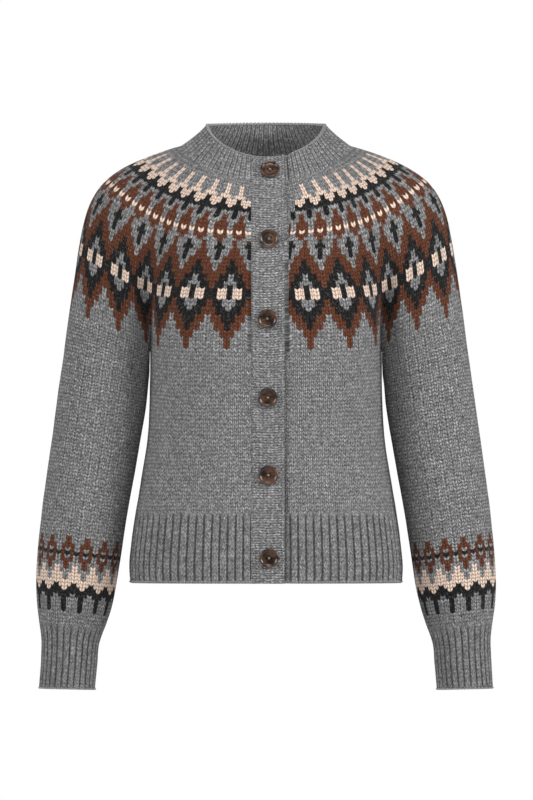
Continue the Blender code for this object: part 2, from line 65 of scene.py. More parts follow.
ROW_HEIGHT = 0.0045
YOKE_REPEATS = 28.0
FIRST_DIAMOND_ROW = -14.5
YOKE_END_ROW = 15.5

Array = np.ndarray
Colour = tuple[float, float, float, float]
Pair = tuple[float, float]


# --- Shader and geometry maths ----------------------------


class Wire:
    """The output of a node, which Python's operators extend with Math nodes."""

    def __init__(self, bench: "Bench", socket: bpy.types.NodeSocket) -> None:
        """Keeps the bench that holds the node, and the socket."""
        self.bench = bench
        self.socket = socket

    def maths(self, operation: str, *others: "Value") -> "Wire":
        """A Math node on this value and the others."""
        sockets = dict(enumerate((self, *others)))
        return self.bench.wire("ShaderNodeMath", {"operation": operation}, sockets)

    def __add__(self, other: "Value") -> "Wire":
        """This value plus another."""
        return self.maths("ADD", other)

    __radd__ = __add__

    def __sub__(self, other: "Value") -> "Wire":
        """This value less another."""
        return self.maths("SUBTRACT", other)

    def __rsub__(self, other: float) -> "Wire":
        """A number less this value."""
        return self.maths("MULTIPLY", -1.0).maths("ADD", other)

    def __mul__(self, other: "Value") -> "Wire":
        """This value times another."""
        return self.maths("MULTIPLY", other)

    __rmul__ = __mul__

    def __truediv__(self, other: "Value") -> "Wire":
        """This value over another."""
        return self.maths("DIVIDE", other)

    def __pow__(self, power: float) -> "Wire":
        """This value to a power."""
        return self.maths("POWER", power)

    def __gt__(self, other: "Value") -> "Wire":
        """1 where this value is the larger one, or else 0."""
        return self.maths("GREATER_THAN", other)

    def __lt__(self, other: "Value") -> "Wire":
        """1 where this value is the smaller one, or else 0."""
        return self.maths("LESS_THAN", other)

    def __abs__(self) -> "Wire":
        """This value with no sign."""
        return self.maths("ABSOLUTE")

    def floor(self) -> "Wire":
        """The whole number at or below this value."""
        return self.maths("FLOOR")

    def part(self) -> "Wire":
        """What this value has past its whole number."""
        return self.maths("FRACT")

    def cycle(self, period: float) -> "Wire":
        """This value counted round a period, never negative."""
        return self.maths("FLOORED_MODULO", period)

    def at_least(self, low: "Value") -> "Wire":
        """This value, or the low one where that is larger."""
        return self.maths("MAXIMUM", low)

    def at_most(self, high: "Value") -> "Wire":
        """This value, or the high one where that is smaller."""
        return self.maths("MINIMUM", high)

    def bell(self, width: "Value") -> "Wire":
        """1 where this value is 0, falling off on both sides over the width."""
        return ((self / width) ** 2.0 * -1.0).maths("EXPONENT")

    def hump(self) -> "Wire":
        """1 where this value is one half, falling to 0 where it is 0 or 1."""
        return self * (1.0 - self) * 4.0

    def eased(self, start: float, end: float) -> "Wire":
        """0 up to the start, 1 from the end on, and smooth between."""
        sockets = {0: self, 1: start, 2: end}
        return self.bench.wire("ShaderNodeMapRange", {"interpolation_type": "SMOOTHSTEP"}, sockets)


Value = Union[Wire, float, Sequence[float]]


@dataclass
class Bench:
    """A node tree that is wired up from Python."""

    tree: bpy.types.NodeTree

    def node(self, kind: str, settings: Optional[dict] = None,
             sockets: Optional[dict] = None) -> bpy.types.Node:
        """Adds a node.

        Args:
            kind: the node's type.
            settings: its own settings, set first. "stops" holds a ramp's (place, colour) pairs.
            sockets: a value or a Wire for each input, by name or number.

        Returns:
            The node.
        """
        made = self.tree.nodes.new(kind)
        for name, value in (settings or {}).items():
            if name == "stops":
                self.set_stops(made.color_ramp, value)
            else:
                setattr(made, name, value)
        return self.feed(made, sockets or {})

    def feed(self, node: bpy.types.Node, sockets: dict) -> bpy.types.Node:
        """Sets or links inputs of a node.

        Args:
            node: the node.
            sockets: a value or a Wire for each input, by name or number.

        Returns:
            The same node.
        """
        for key, value in sockets.items():
            if isinstance(value, Wire):
                self.tree.links.new(value.socket, node.inputs[key])
            else:
                node.inputs[key].default_value = value
        return node

    def wire(self, kind: str, settings: Optional[dict] = None, sockets: Optional[dict] = None,
             output: Union[int, str] = 0) -> Wire:
        """Adds a node as node() does, and returns one of its outputs."""
        return Wire(self, self.node(kind, settings, sockets).outputs[output])

    @staticmethod
    def set_stops(ramp: bpy.types.ColorRamp, stops: Sequence[tuple[float, Sequence[float]]]) -> None:
        """Makes a ramp a stepped one.

        Args:
            ramp: the ramp.
            stops: where each colour starts, in rising order, and the colour.
        """
        ramp.interpolation = "CONSTANT"
        while len(ramp.elements) > 1:
            ramp.elements.remove(ramp.elements[-1])
        ramp.elements[0].position, ramp.elements[0].color = stops[0]
        for place, colour in stops[1:]:
            ramp.elements.new(place).color = colour

    def object_place(self) -> Wire:
        """Where a point is, in Object coordinates."""
        return self.wire("ShaderNodeTexCoord", None, None, "Object")

    def parts(self, vector: Wire) -> list[Wire]:
        """The three numbers of a vector."""
        split = self.node("ShaderNodeSeparateXYZ", None, {0: vector})
        return [Wire(self, socket) for socket in split.outputs]

    def vector(self, x: Value, y: Value, z: Value = 0.0) -> Wire:
        """Three values as one vector."""
        return self.wire("ShaderNodeCombineXYZ", None, {0: x, 1: y, 2: z})

    def noise(self, at: Wire, scale: float, detail: float = 2.0, roughness: float = 0.5) -> Wire:
        """Smooth noise from 0 to 1, mostly near the middle."""
        sockets = {"Vector": at, "Scale": scale, "Detail": detail, "Roughness": roughness}
        return self.wire("ShaderNodeTexNoise", {"noise_dimensions": "3D"}, sockets)

    def chance(self, x: Wire, y: Wire) -> Wire:
        """A random value from 0 to 1 for each pair of whole numbers."""
        return self.wire("ShaderNodeTexWhiteNoise", {"noise_dimensions": "2D"},
                         {"Vector": self.vector(x, y)})

    def blend(self, share: Value, first: Value, second: Value) -> Wire:
        """A number between two numbers."""
        return self.wire("ShaderNodeMix", {"data_type": "FLOAT"}, {0: share, 2: first, 3: second})

    def tint(self, share: Value, first: Value, second: Value, how: str = "MIX") -> Wire:
        """A colour between two colours, or one made from both."""
        settings = {"data_type": "RGBA", "blend_type": how}
        return self.wire("ShaderNodeMix", settings, {0: share, 6: first, 7: second}, 2)


def new_material(name: str) -> tuple[bpy.types.Material, Bench, bpy.types.Node]:
    """Starts a material, and gives it with the bench of its nodes and its shader."""
    material = bpy.data.materials.new(name)
    material.use_nodes = True
    return material, Bench(material.node_tree), material.node_tree.nodes["Principled BSDF"]


# --- Yarns, charts and finishes ---------------------------


class Yarn(Enum):
    """The yarns that are knitted, by their letter in a chart."""

    HEATHER = "."
    BLACK = "K"
    CREAM = "C"
    RUST = "R"

    @property
    def code(self) -> float:
        """The yarn's number between 0 and 1 in a shader."""
        return (list(Yarn).index(self) + 0.5) / len(Yarn)


@dataclass(frozen=True)
class Chart:
    """A repeat that is the same on both sides of its middle stitch.

    Each line is one row of stitches, top first, and its letters are the yarns of the middle
    stitch and of its neighbours on either side, out to half the repeat. On the yoke, where places
    are counted in repeats, per_repeat and offset turn them into stitches.
    """

    first_row: int
    period: int
    lines: tuple[str, ...]
    per_repeat: float = 1.0
    offset: float = 0.0

    def stitches(self, repeats: Wire) -> Wire:
        """A place counted in repeats of the yoke, counted in stitches."""
        return repeats * self.per_repeat + self.offset

    def stops(self, column: int) -> list[tuple[float, tuple[float, ...]]]:
        """The stops of a ramp down one column of the chart, with plain wool at both ends."""
        yarns = [Yarn.HEATHER, *(Yarn(line[column]) for line in self.lines), Yarn.HEATHER]
        changes = [0] + [k for k in range(1, len(yarns)) if yarns[k] is not yarns[k - 1]]
        return [(k / len(yarns), (yarns[k].code,) * 3 + (1.0,)) for k in changes]

    def yarn_at(self, bench: Bench, stitch: Wire, row: Wire) -> Wire:
        """The code of the yarn at a stitch and a row.

        Args:
            bench: where the nodes go.
            stitch: the stitch's number round the garment, 0 in the middle of a repeat.
            row: the row's number down the garment.

        Returns:
            The yarn's code.
        """
        half = self.period // 2
        away = abs((stitch + half).cycle(self.period) - half)
        place = (row - (self.first_row - 1.5)) / (len(self.lines) + 2)
        code: Value = Yarn.HEATHER.code
        for column in range(half + 1):
            here = bench.wire("ShaderNodeValToRGB", {"stops": self.stops(column)}, {0: place})
            code = bench.blend(away > column - 0.5, code, here)
        return code


YOKE_TEETH = Chart(first_row=-30, period=4, per_repeat=6.0, offset=2.5, lines=(
    "..C", "..C", "..C", ".CC", "CCK", "CCK", "CKK", "KKK", "..K", "R.K",
    "R..", "RR.", "RR.", "CRC", "RR.", "R..",
))
YOKE_DIAMONDS = Chart(first_row=-14, period=8, per_repeat=8.0, offset=-3.5, lines=(
    "R...K", "R..KK", "RR..K", "RR..K", "RRR.K", "KRR..", "KRRR.", "KKRR.", "KKRRR",
    ".KKRR", ".KKRR", "..KKR", "K.KKR", "KCCKK", "KCCKK", "KCCKK", "..KKR", "..KKR", ".KKRR",
    "KKKRR", "KKRR.", "KKRR.", "KRR..", "KRR..", "RR...", "RR...", "R....", "R....", "R....",
))


@dataclass(frozen=True)
class Round:
    """A round of the yoke's pattern, and its share of the way from the neck to the underarm.

    The shares are given in front, beside the front, on the shoulder, and at the back.
    """

    row: float
    shares: tuple[float, float, float, float]


ROUND_STATIONS = (0.3, 2.0, 4.6, 13.0)
YOKE_ROUNDS = (
    Round(-36.0, (-0.075, -0.100, -0.090, 0.000)),
    Round(-30.3, (0.045, 0.033, 0.060, 0.115)),
    Round(-26.3, (0.133, 0.139, 0.178, 0.195)),
    Round(-23.0, (0.185, 0.195, 0.230, 0.255)),
    Round(-17.3, (0.312, 0.326, 0.350, 0.370)),
    Round(-12.8, (0.402, 0.436, 0.460, 0.465)),
    Round(0.2, (0.672, 0.684, 0.703, 0.700)),
    Round(YOKE_END_ROW, (1.000, 1.000, 1.000, 1.000)),
)
REPEAT_COUNTS = ((0.0, 0.0), (1.0, 0.95), (2.0, 1.88), (3.0, 2.84), (4.0, 3.97), (5.0, 5.15),
                 (6.45, 6.87), (13.0, 14.0))
CUFF_LOZENGES = Chart(first_row=0, period=4, lines=(
    "R..", "R..", "RR.", ".R.", "KRK", ".R.", "RR.", "R..", "R.C", "..C", ".CC", ".CC", "CCC",
    "CCK", "CKK", "KKK", "KK.", "K..", "K..", "K..", "K..",
))


class Knit(Enum):
    """How a piece is knitted."""

    PLAIN = "plain"
    YOKE = "yoke"
    SLEEVE = "sleeve"
    RIB = "rib"


@dataclass(frozen=True)
class WoolFinish:
    """Heather wool and three plain colours, knitted in stocking stitch or rib.

    Beside the buttonhole band's free edge, edge_shade paints shade into the gap, or paints light there
    below 0. gap_shade, top_shade, inside_top_shade and groove_shade paint shade between the stitches
    and in rib grooves, and light on the stitch tops.
    plain_corners says how many stitches of the teeth beside the band stay plain above a row.
    """

    name: str
    knit: Knit
    heather: Colour = (0.225, 0.224, 0.226, 1.0)
    black: Colour = (0.0098, 0.0094, 0.0096, 1.0)
    cream: Colour = (0.820, 0.630, 0.515, 1.0)
    rust: Colour = (0.122, 0.0365, 0.0145, 1.0)
    light_fleck: Colour = (0.580, 0.580, 0.590, 1.0)
    dark_fleck: Colour = (0.060, 0.060, 0.066, 1.0)
    fleck_strength: float = 0.66
    dyed_fleck_strength: float = 0.14
    grain: Pair = (2.5, 2.0)
    lean: float = 0.50
    bulk: float = 0.13
    wander: float = 0.35
    row_wander: float = 0.9
    drift_scale: float = 0.22
    row_drift_scale: float = 0.16
    relief: float = 0.0013
    fibre_relief: float = 0.35
    paired: bool = False
    rib_width: float = 0.74
    rib_softness: float = 0.14
    gap_shade: float = 0.28
    top_shade: float = 1.12
    inside_top_shade: float = 1.45
    fibre_shade: Pair = (0.84, 0.32)
    groove_shade: float = 0.0
    edge_shade: float = 0.0
    edge_place: float = 0.0232
    edge_width: float = 0.0020
    edge_half_shown: Pair = (-0.08, -0.13)
    edge_all_shown: Pair = (-0.33, -0.40)
    plain_corners: tuple[Pair, ...] = ((4.0, -26.5), (3.0, -22.5))
    strip_end: float = 0.0273
    roughness: float = 0.95
    sheen: float = 0.04
    sheen_roughness: float = 0.6
    gloss: float = 0.10

    def material(self, inside: bool = False) -> bpy.types.Material:
        """The finish as a material.

        Args:
            inside: True for the wrong side of the cloth, with purl bumps.

        Returns:
            A material that reads the UV map "stitches" and the attribute "ribbing".
        """
        material, bench, shader = new_material(self.name + ("_inside" if inside else ""))
        across, down, _ = bench.parts(bench.wire("ShaderNodeUVMap", {"uv_map": "stitches"}))
        drift = bench.noise(bench.vector(across, down), self.drift_scale, 1.0)
        drift_down = bench.noise(bench.vector(across, down, 7.0), self.row_drift_scale, 1.0)
        if inside and self.knit is Knit.RIB:
            across = across + 0.5
        stitch_place = self.stitch_place(bench, across, down, drift)
        row_place = down + (drift_down - 0.5) * self.row_wander
        stitch = stitch_place.floor()
        off_middle = abs(stitch_place.part() - 0.5) * 2.0
        side = off_middle
        if self.knit is Knit.RIB:
            side = (off_middle / self.rib_width).at_most(1.0)
            if self.paired:
                side = abs(side * 2.0 - 1.0)
        leaning = row_place + side * self.lean
        row, rise = leaning.floor(), leaning.part()
        leg, strand = side.hump(), rise.hump()
        if not inside:
            height = (leg * strand).at_least(0.0) ** 0.5
        elif self.knit is Knit.RIB:
            height = (leg * 0.8 + 0.2 * strand).at_least(0.0) ** 0.5
        else:
            height = (row_place * 2.0).part().hump() ** 0.5 * (0.6 + 0.4 * leg)

        fibre_at = bench.vector(stitch * 3.7 + side * 0.9, row * 2.3 + rise * 3.0, side * 0.7)
        fibre = bench.noise(fibre_at, 1.6, 3.0, 0.7)
        grain_across, grain_down = self.grain
        fleck_at = bench.vector(stitch_place * grain_across, leaning * grain_down, stitch * 0.37)
        fleck = bench.noise(fleck_at, 1.0, 2.0, 0.7)
        colour = self.colour(bench, stitch, row, across, fleck)
        # Painted shade and light: the colour is darkened in the gaps between stitches (gap_shade),
        # lightened on the stitch tops (top_shade, with more light painted on the wrong side by
        # inside_top_shade), darkened in rib grooves (groove_shade) and beside the band's free edge
        # (edge_shade). fibre_shade only varies the tone at random along the fibres.
        top_shade = self.inside_top_shade if inside else self.top_shade
        dimmest, range_up = self.fibre_shade
        depth = bench.blend(height, self.gap_shade, top_shade) * (dimmest + range_up * fibre)
        if self.groove_shade:
            groove = off_middle.eased(self.rib_width - self.rib_softness,
                                      self.rib_width + self.rib_softness)
            pressed = bench.wire("ShaderNodeAttribute", {"attribute_name": "ribbing"}, None, "Fac")
            depth = depth * (1.0 - groove * pressed * self.groove_shade)
        if self.edge_shade:
            depth = depth * (1.0 - self.beside_edge(bench) * self.edge_shade)
        bump = {"Distance": self.relief, "Height": height + fibre * self.fibre_relief}
        bench.feed(shader, {
            "Base Color": bench.tint(1.0, colour, bench.vector(depth, depth, depth), "MULTIPLY"),
            "Normal": bench.wire("ShaderNodeBump", None, bump, "Normal"),
            "Roughness": self.roughness, "Sheen Weight": self.sheen,
            "Sheen Roughness": self.sheen_roughness, "Specular IOR Level": self.gloss,
        })
        return material

    def stitch_place(self, bench: Bench, across: Wire, down: Wire, drift: Wire) -> Wire:
        """Where a point is round the garment, in stitches.

        Args:
            bench: where the nodes go.
            across: where it is round the garment, as the UV map counts.
            down: its row.
            drift: smooth noise that lets the columns wander.

        Returns:
            The place. In colourwork the stitches of one colour crowd their neighbours a little.
        """
        place = across
        if self.knit is Knit.YOKE:
            place = bench.blend(down > FIRST_DIAMOND_ROW, YOKE_TEETH.stitches(across),
                                YOKE_DIAMONDS.stitches(across))
        place = place + (drift - 0.5) * self.wander
        if self.knit in (Knit.YOKE, Knit.SLEEVE):
            turn = (place - 0.5) * math.pi
            place = place - turn.maths("SINE") * self.bulk
        return place

    def beside_edge(self, bench: Bench) -> Wire:
        """Where edge_shade paints shade or light: 1 beside the buttonhole band's free edge, from 0 at
        the neck to 1 near the hem.
        """
        across, deep, high = bench.parts(bench.object_place())
        shown = high.eased(*self.edge_half_shown) * (0.5 + 0.5 * high.eased(*self.edge_all_shown))
        return (across - self.edge_place).bell(self.edge_width) * shown * (deep < 0.0)

    def yoke_code(self, bench: Bench, stitch: Wire, row: Wire, across: Wire) -> Wire:
        """The code of the yoke's yarn at a stitch and a row.

        Args:
            bench: where the nodes go.
            stitch: the stitch's number.
            row: the row's number.
            across: where it is round the yoke, in repeats.

        Returns:
            The code, plain beside the band at the top and on a strip along the band's free edge.
        """
        from_band = YOKE_TEETH.stitches(across.at_most(YOKE_REPEATS - across))
        plain = sum((from_band < width) * (row < above) for width, above in self.plain_corners)
        teeth = YOKE_TEETH.yarn_at(bench, stitch, row) * (1.0 - plain.at_most(1.0))
        diamonds = YOKE_DIAMONDS.yarn_at(bench, stitch, row)
        out, deep, _ = bench.parts(bench.object_place())
        strip = (out > 0.0) * (out < self.strip_end) * (deep < 0.0)
        return bench.blend(row > FIRST_DIAMOND_ROW, teeth, diamonds) * (1.0 - strip)

    def colour(self, bench: Bench, stitch: Wire, row: Wire, across: Wire, fleck: Wire) -> Wire:
        """The yarn's colour before its light and shade.

        Args:
            bench: where the nodes go.
            stitch: the stitch's number.
            row: the row's number.
            across: where it is round the garment, as the UV map counts.
            fleck: noise along the strand.

        Returns:
            The colour.
        """
        luck = bench.chance(stitch, row)
        heather: Value = self.heather
        for share, yarn in (
            (fleck.eased(0.50, 0.66), self.light_fleck),
            (fleck.eased(0.50, 0.36), self.dark_fleck),
            ((luck - 0.75).at_least(0.0), self.light_fleck),
            ((0.25 - luck).at_least(0.0), self.dark_fleck),
        ):
            heather = bench.tint(share * self.fleck_strength, heather, yarn)
        if self.knit in (Knit.PLAIN, Knit.RIB):
            return heather
        if self.knit is Knit.YOKE:
            code = self.yoke_code(bench, stitch, row, across)
        else:
            code = CUFF_LOZENGES.yarn_at(bench, stitch, row)
        dyes = {Yarn.HEATHER: self.heather, Yarn.BLACK: self.black, Yarn.CREAM: self.cream,
                Yarn.RUST: self.rust}
        stops = [(k / len(Yarn), dyes[yarn]) for k, yarn in enumerate(Yarn)]
        dyed = bench.wire("ShaderNodeValToRGB", {"stops": stops}, {0: code})
        light = fleck.eased(0.50, 0.75) * self.dyed_fleck_strength
        dyed = bench.tint(light, dyed, self.light_fleck, "SCREEN")
        return bench.tint(code > 1.0 / len(Yarn), heather, dyed)


@dataclass(frozen=True)
class HornFinish:
    """Polished horn, mottled from near black to amber."""

    name: str
    seed: float = 0.0
    dark: Colour = (0.013, 0.008, 0.006, 1.0)
    brown: Colour = (0.078, 0.038, 0.022, 1.0)
    amber: Colour = (0.210, 0.075, 0.028, 1.0)
    cloud_scale: float = 120.0
    streak_scale: float = 420.0
    roughness: Pair = (0.24, 0.14)
    gloss: float = 0.35
    polish: float = 0.35
    polish_roughness: float = 0.12

    def material(self) -> bpy.types.Material:
        """The finish as a material.

        Returns:
            A material that reads Object coordinates.
        """
        material, bench, shader = new_material(self.name)
        place = bench.wire("ShaderNodeVectorMath", {"operation": "ADD"},
                           {0: bench.object_place(), 1: (self.seed, self.seed * 0.7, 0.0)})
        cloud = bench.noise(place, self.cloud_scale, 4.0, 0.6)
        streak = bench.noise(place, self.streak_scale, 3.0, 0.6)
        colour = bench.tint(cloud.eased(0.38, 0.58), self.dark, self.brown)
        colour = bench.tint(cloud.eased(0.56, 0.72) * streak.eased(0.35, 0.65), colour, self.amber)
        bench.feed(shader, {
            "Base Color": colour, "Roughness": self.roughness[0] + self.roughness[1] * streak,
            "Specular IOR Level": self.gloss, "Coat Weight": self.polish,
            "Coat Roughness": self.polish_roughness,
        })
        return material


@dataclass(frozen=True)
class ThreadFinish:
    """Twisted sewing thread or yarn, or a plain painted ground where there is no twist."""

    name: str
    colour: Colour
    twist: float = 900.0
    roughness: float = 0.85
    shade: float = 0.6

    def material(self) -> bpy.types.Material:
        """The finish as a material.

        Returns:
            A material that reads Object coordinates.
        """
        material, bench, shader = new_material(self.name)
        colour: Value = self.colour
        if self.twist:
            strand = bench.noise(bench.object_place(), self.twist, 2.0)
            dark = tuple(self.shade * part for part in self.colour[:3]) + (1.0,)
            colour = bench.tint(strand.eased(0.35, 0.65), dark, self.colour)
        bench.feed(shader, {"Base Color": colour, "Roughness": self.roughness})
        return material


# --- The filled-out form ----------------------------------


@dataclass(frozen=True)
class NeckRing:
    """A ring round the neck: its half sizes, and its drops at the sides, front and back."""

    half_width: float
    front: float
    back: float
    side_drop: float
    front_drop: float
    back_drop: float


@dataclass(frozen=True)
class Slopes:
    """A value in front, at the side and at the back of the neck."""

    front: float
    side: float
    back: float
    power: float = 1.5

    def read(self, facing: Array) -> Array:
        """The value by how squarely the ring faces the front (-1) or the back (1)."""
        end = np.where(facing < 0.0, self.front, self.back)
        return self.side + (end - self.side) * np.abs(facing) ** self.power


@dataclass(frozen=True)
class BodyRing:
    """A ring of the body, a superellipse."""

    drop: float
    half_width: float
    front: float
    back: float


@dataclass(frozen=True)
class SleeveRing:
    """A ring of a sleeve: its middle, its half sizes and its tilt in degrees, outer side up."""

    drop: float
    out: float
    forward: float
    half_width: float
    half_depth: float
    tilt: float


@dataclass(frozen=True)
class Columns:
    """How many columns each stretch of half the garment has."""

    front: int
    underarm: int
    sleeve: int
    back: int


BODY_RINGS = (
    BodyRing(0.2300, 0.1390, 0.1160, 0.1100),
    BodyRing(0.2640, 0.1390, 0.1155, 0.1095),
    BodyRing(0.3050, 0.1396, 0.1140, 0.1080),
    BodyRing(0.3530, 0.1425, 0.1130, 0.1070),
    BodyRing(0.4010, 0.1500, 0.1140, 0.1080),
    BodyRing(0.4404, 0.1566, 0.1160, 0.1110),
    BodyRing(0.4730, 0.1612, 0.1175, 0.1125),
    BodyRing(0.5050, 0.1642, 0.1185, 0.1135),
    BodyRing(0.5244, 0.1632, 0.1175, 0.1125),
)
SLEEVE_RINGS = (
    SleeveRing(0.2220, 0.18495, 0.0000, 0.0555, 0.0520, 22.0),
    SleeveRing(0.2640, 0.19150, 0.0000, 0.0530, 0.0535, 15.0),
    SleeveRing(0.3048, 0.19680, 0.0010, 0.0535, 0.0540, 10.0),
    SleeveRing(0.3528, 0.20400, 0.0025, 0.0527, 0.0535, 9.0),
    SleeveRing(0.4008, 0.21180, 0.0045, 0.0520, 0.0525, 9.0),
    SleeveRing(0.4488, 0.21900, 0.0065, 0.0508, 0.0515, 8.0),
    SleeveRing(0.4968, 0.22500, 0.0085, 0.0497, 0.0505, 7.0),
    SleeveRing(0.5328, 0.22860, 0.0098, 0.0473, 0.0480, 6.0),
    SleeveRing(0.5568, 0.23100, 0.0104, 0.0437, 0.0445, 6.0),
    SleeveRing(0.5748, 0.23280, 0.0108, 0.0395, 0.0405, 6.0),
    SleeveRing(0.5928, 0.23460, 0.0112, 0.0354, 0.0370, 6.0),
    SleeveRing(0.6168, 0.23590, 0.0118, 0.0343, 0.0357, 4.5),
    SleeveRing(0.6508, 0.23850, 0.0125, 0.0339, 0.0350, 1.5),
)


def hermite(start: Array, start_pull: Array, end: Array, end_pull: Array, at: Array) -> Array:
    """A cubic from start to end that leaves and arrives along the two pulls."""
    rise = at * at * (3.0 - 2.0 * at)
    leave = at * (1.0 - at) ** 2
    arrive = at * at * (at - 1.0)
    return start * (1.0 - rise) + end * rise + start_pull * leave + end_pull * arrive


def smooth(at: Array) -> Array:
    """0 below 0, 1 above 1, and an even rise between."""
    held = np.clip(at, 0.0, 1.0)
    return held * held * (3.0 - 2.0 * held)


def read(table: Sequence, column: str, drops: Array) -> Array:
    """One size of a table of rings, read smoothly.

    Args:
        table: the rings, top first.
        column: the name of the size.
        drops: where it is read.

    Returns:
        The size at each drop.
    """
    keys = np.array([row.drop for row in table])
    values = np.array([getattr(row, column) for row in table])
    slopes = np.gradient(values, keys)
    low = np.clip(np.searchsorted(keys, drops) - 1, 0, len(keys) - 2)
    span = keys[low + 1] - keys[low]
    at = (drops - keys[low]) / span
    return hermite(values[low], slopes[low] * span, values[low + 1], slopes[low + 1] * span, at)


def travelled(points: Array) -> Array:
    """How far along a polyline each of its points is."""
    steps = np.linalg.norm(np.diff(points, axis=0), axis=1)
    return np.concatenate(([0.0], np.cumsum(steps)))


def shares_of(points: Array) -> Array:
    """The share of a polyline's length at each of its points."""
    along = travelled(points)
    return along / along[-1]


def spaced(points: Array, shares: Array) -> Array:
    """Points at the given shares of a polyline's length."""
    along = shares_of(points)
    return np.stack([np.interp(shares, along, points[:, axis]) for axis in range(3)], axis=1)


def strung(*stretches: Array) -> Array:
    """Stretches of a row as one, each of which starts where the one before it ends."""
    return np.vstack((stretches[0], *(stretch[1:] for stretch in stretches[1:])))


def from_edge(points: Array, edge: float) -> Array:
    """A polyline that starts in the middle of the front, cut off "edge" out from the middle."""
    turn = int(np.argmax(points[:, 0]))
    start = [np.interp(edge, points[:turn, 0], points[:turn, axis]) for axis in range(3)]
    first = int(np.argmax(points[:, 0] > edge))
    return np.vstack((start, points[first:]))


def between(grid: Array, keys: Array, wanted: Array, axis: int = 0) -> Array:
    """A grid read at new places along one of its two directions."""
    low = np.clip(np.searchsorted(keys, wanted, side="right") - 1, 0, len(keys) - 2)
    at = (wanted - keys[low]) / (keys[low + 1] - keys[low])
    at = at[:, None, None] if axis == 0 else at[None, :, None]
    return np.take(grid, low, axis) * (1.0 - at) + np.take(grid, low + 1, axis) * at


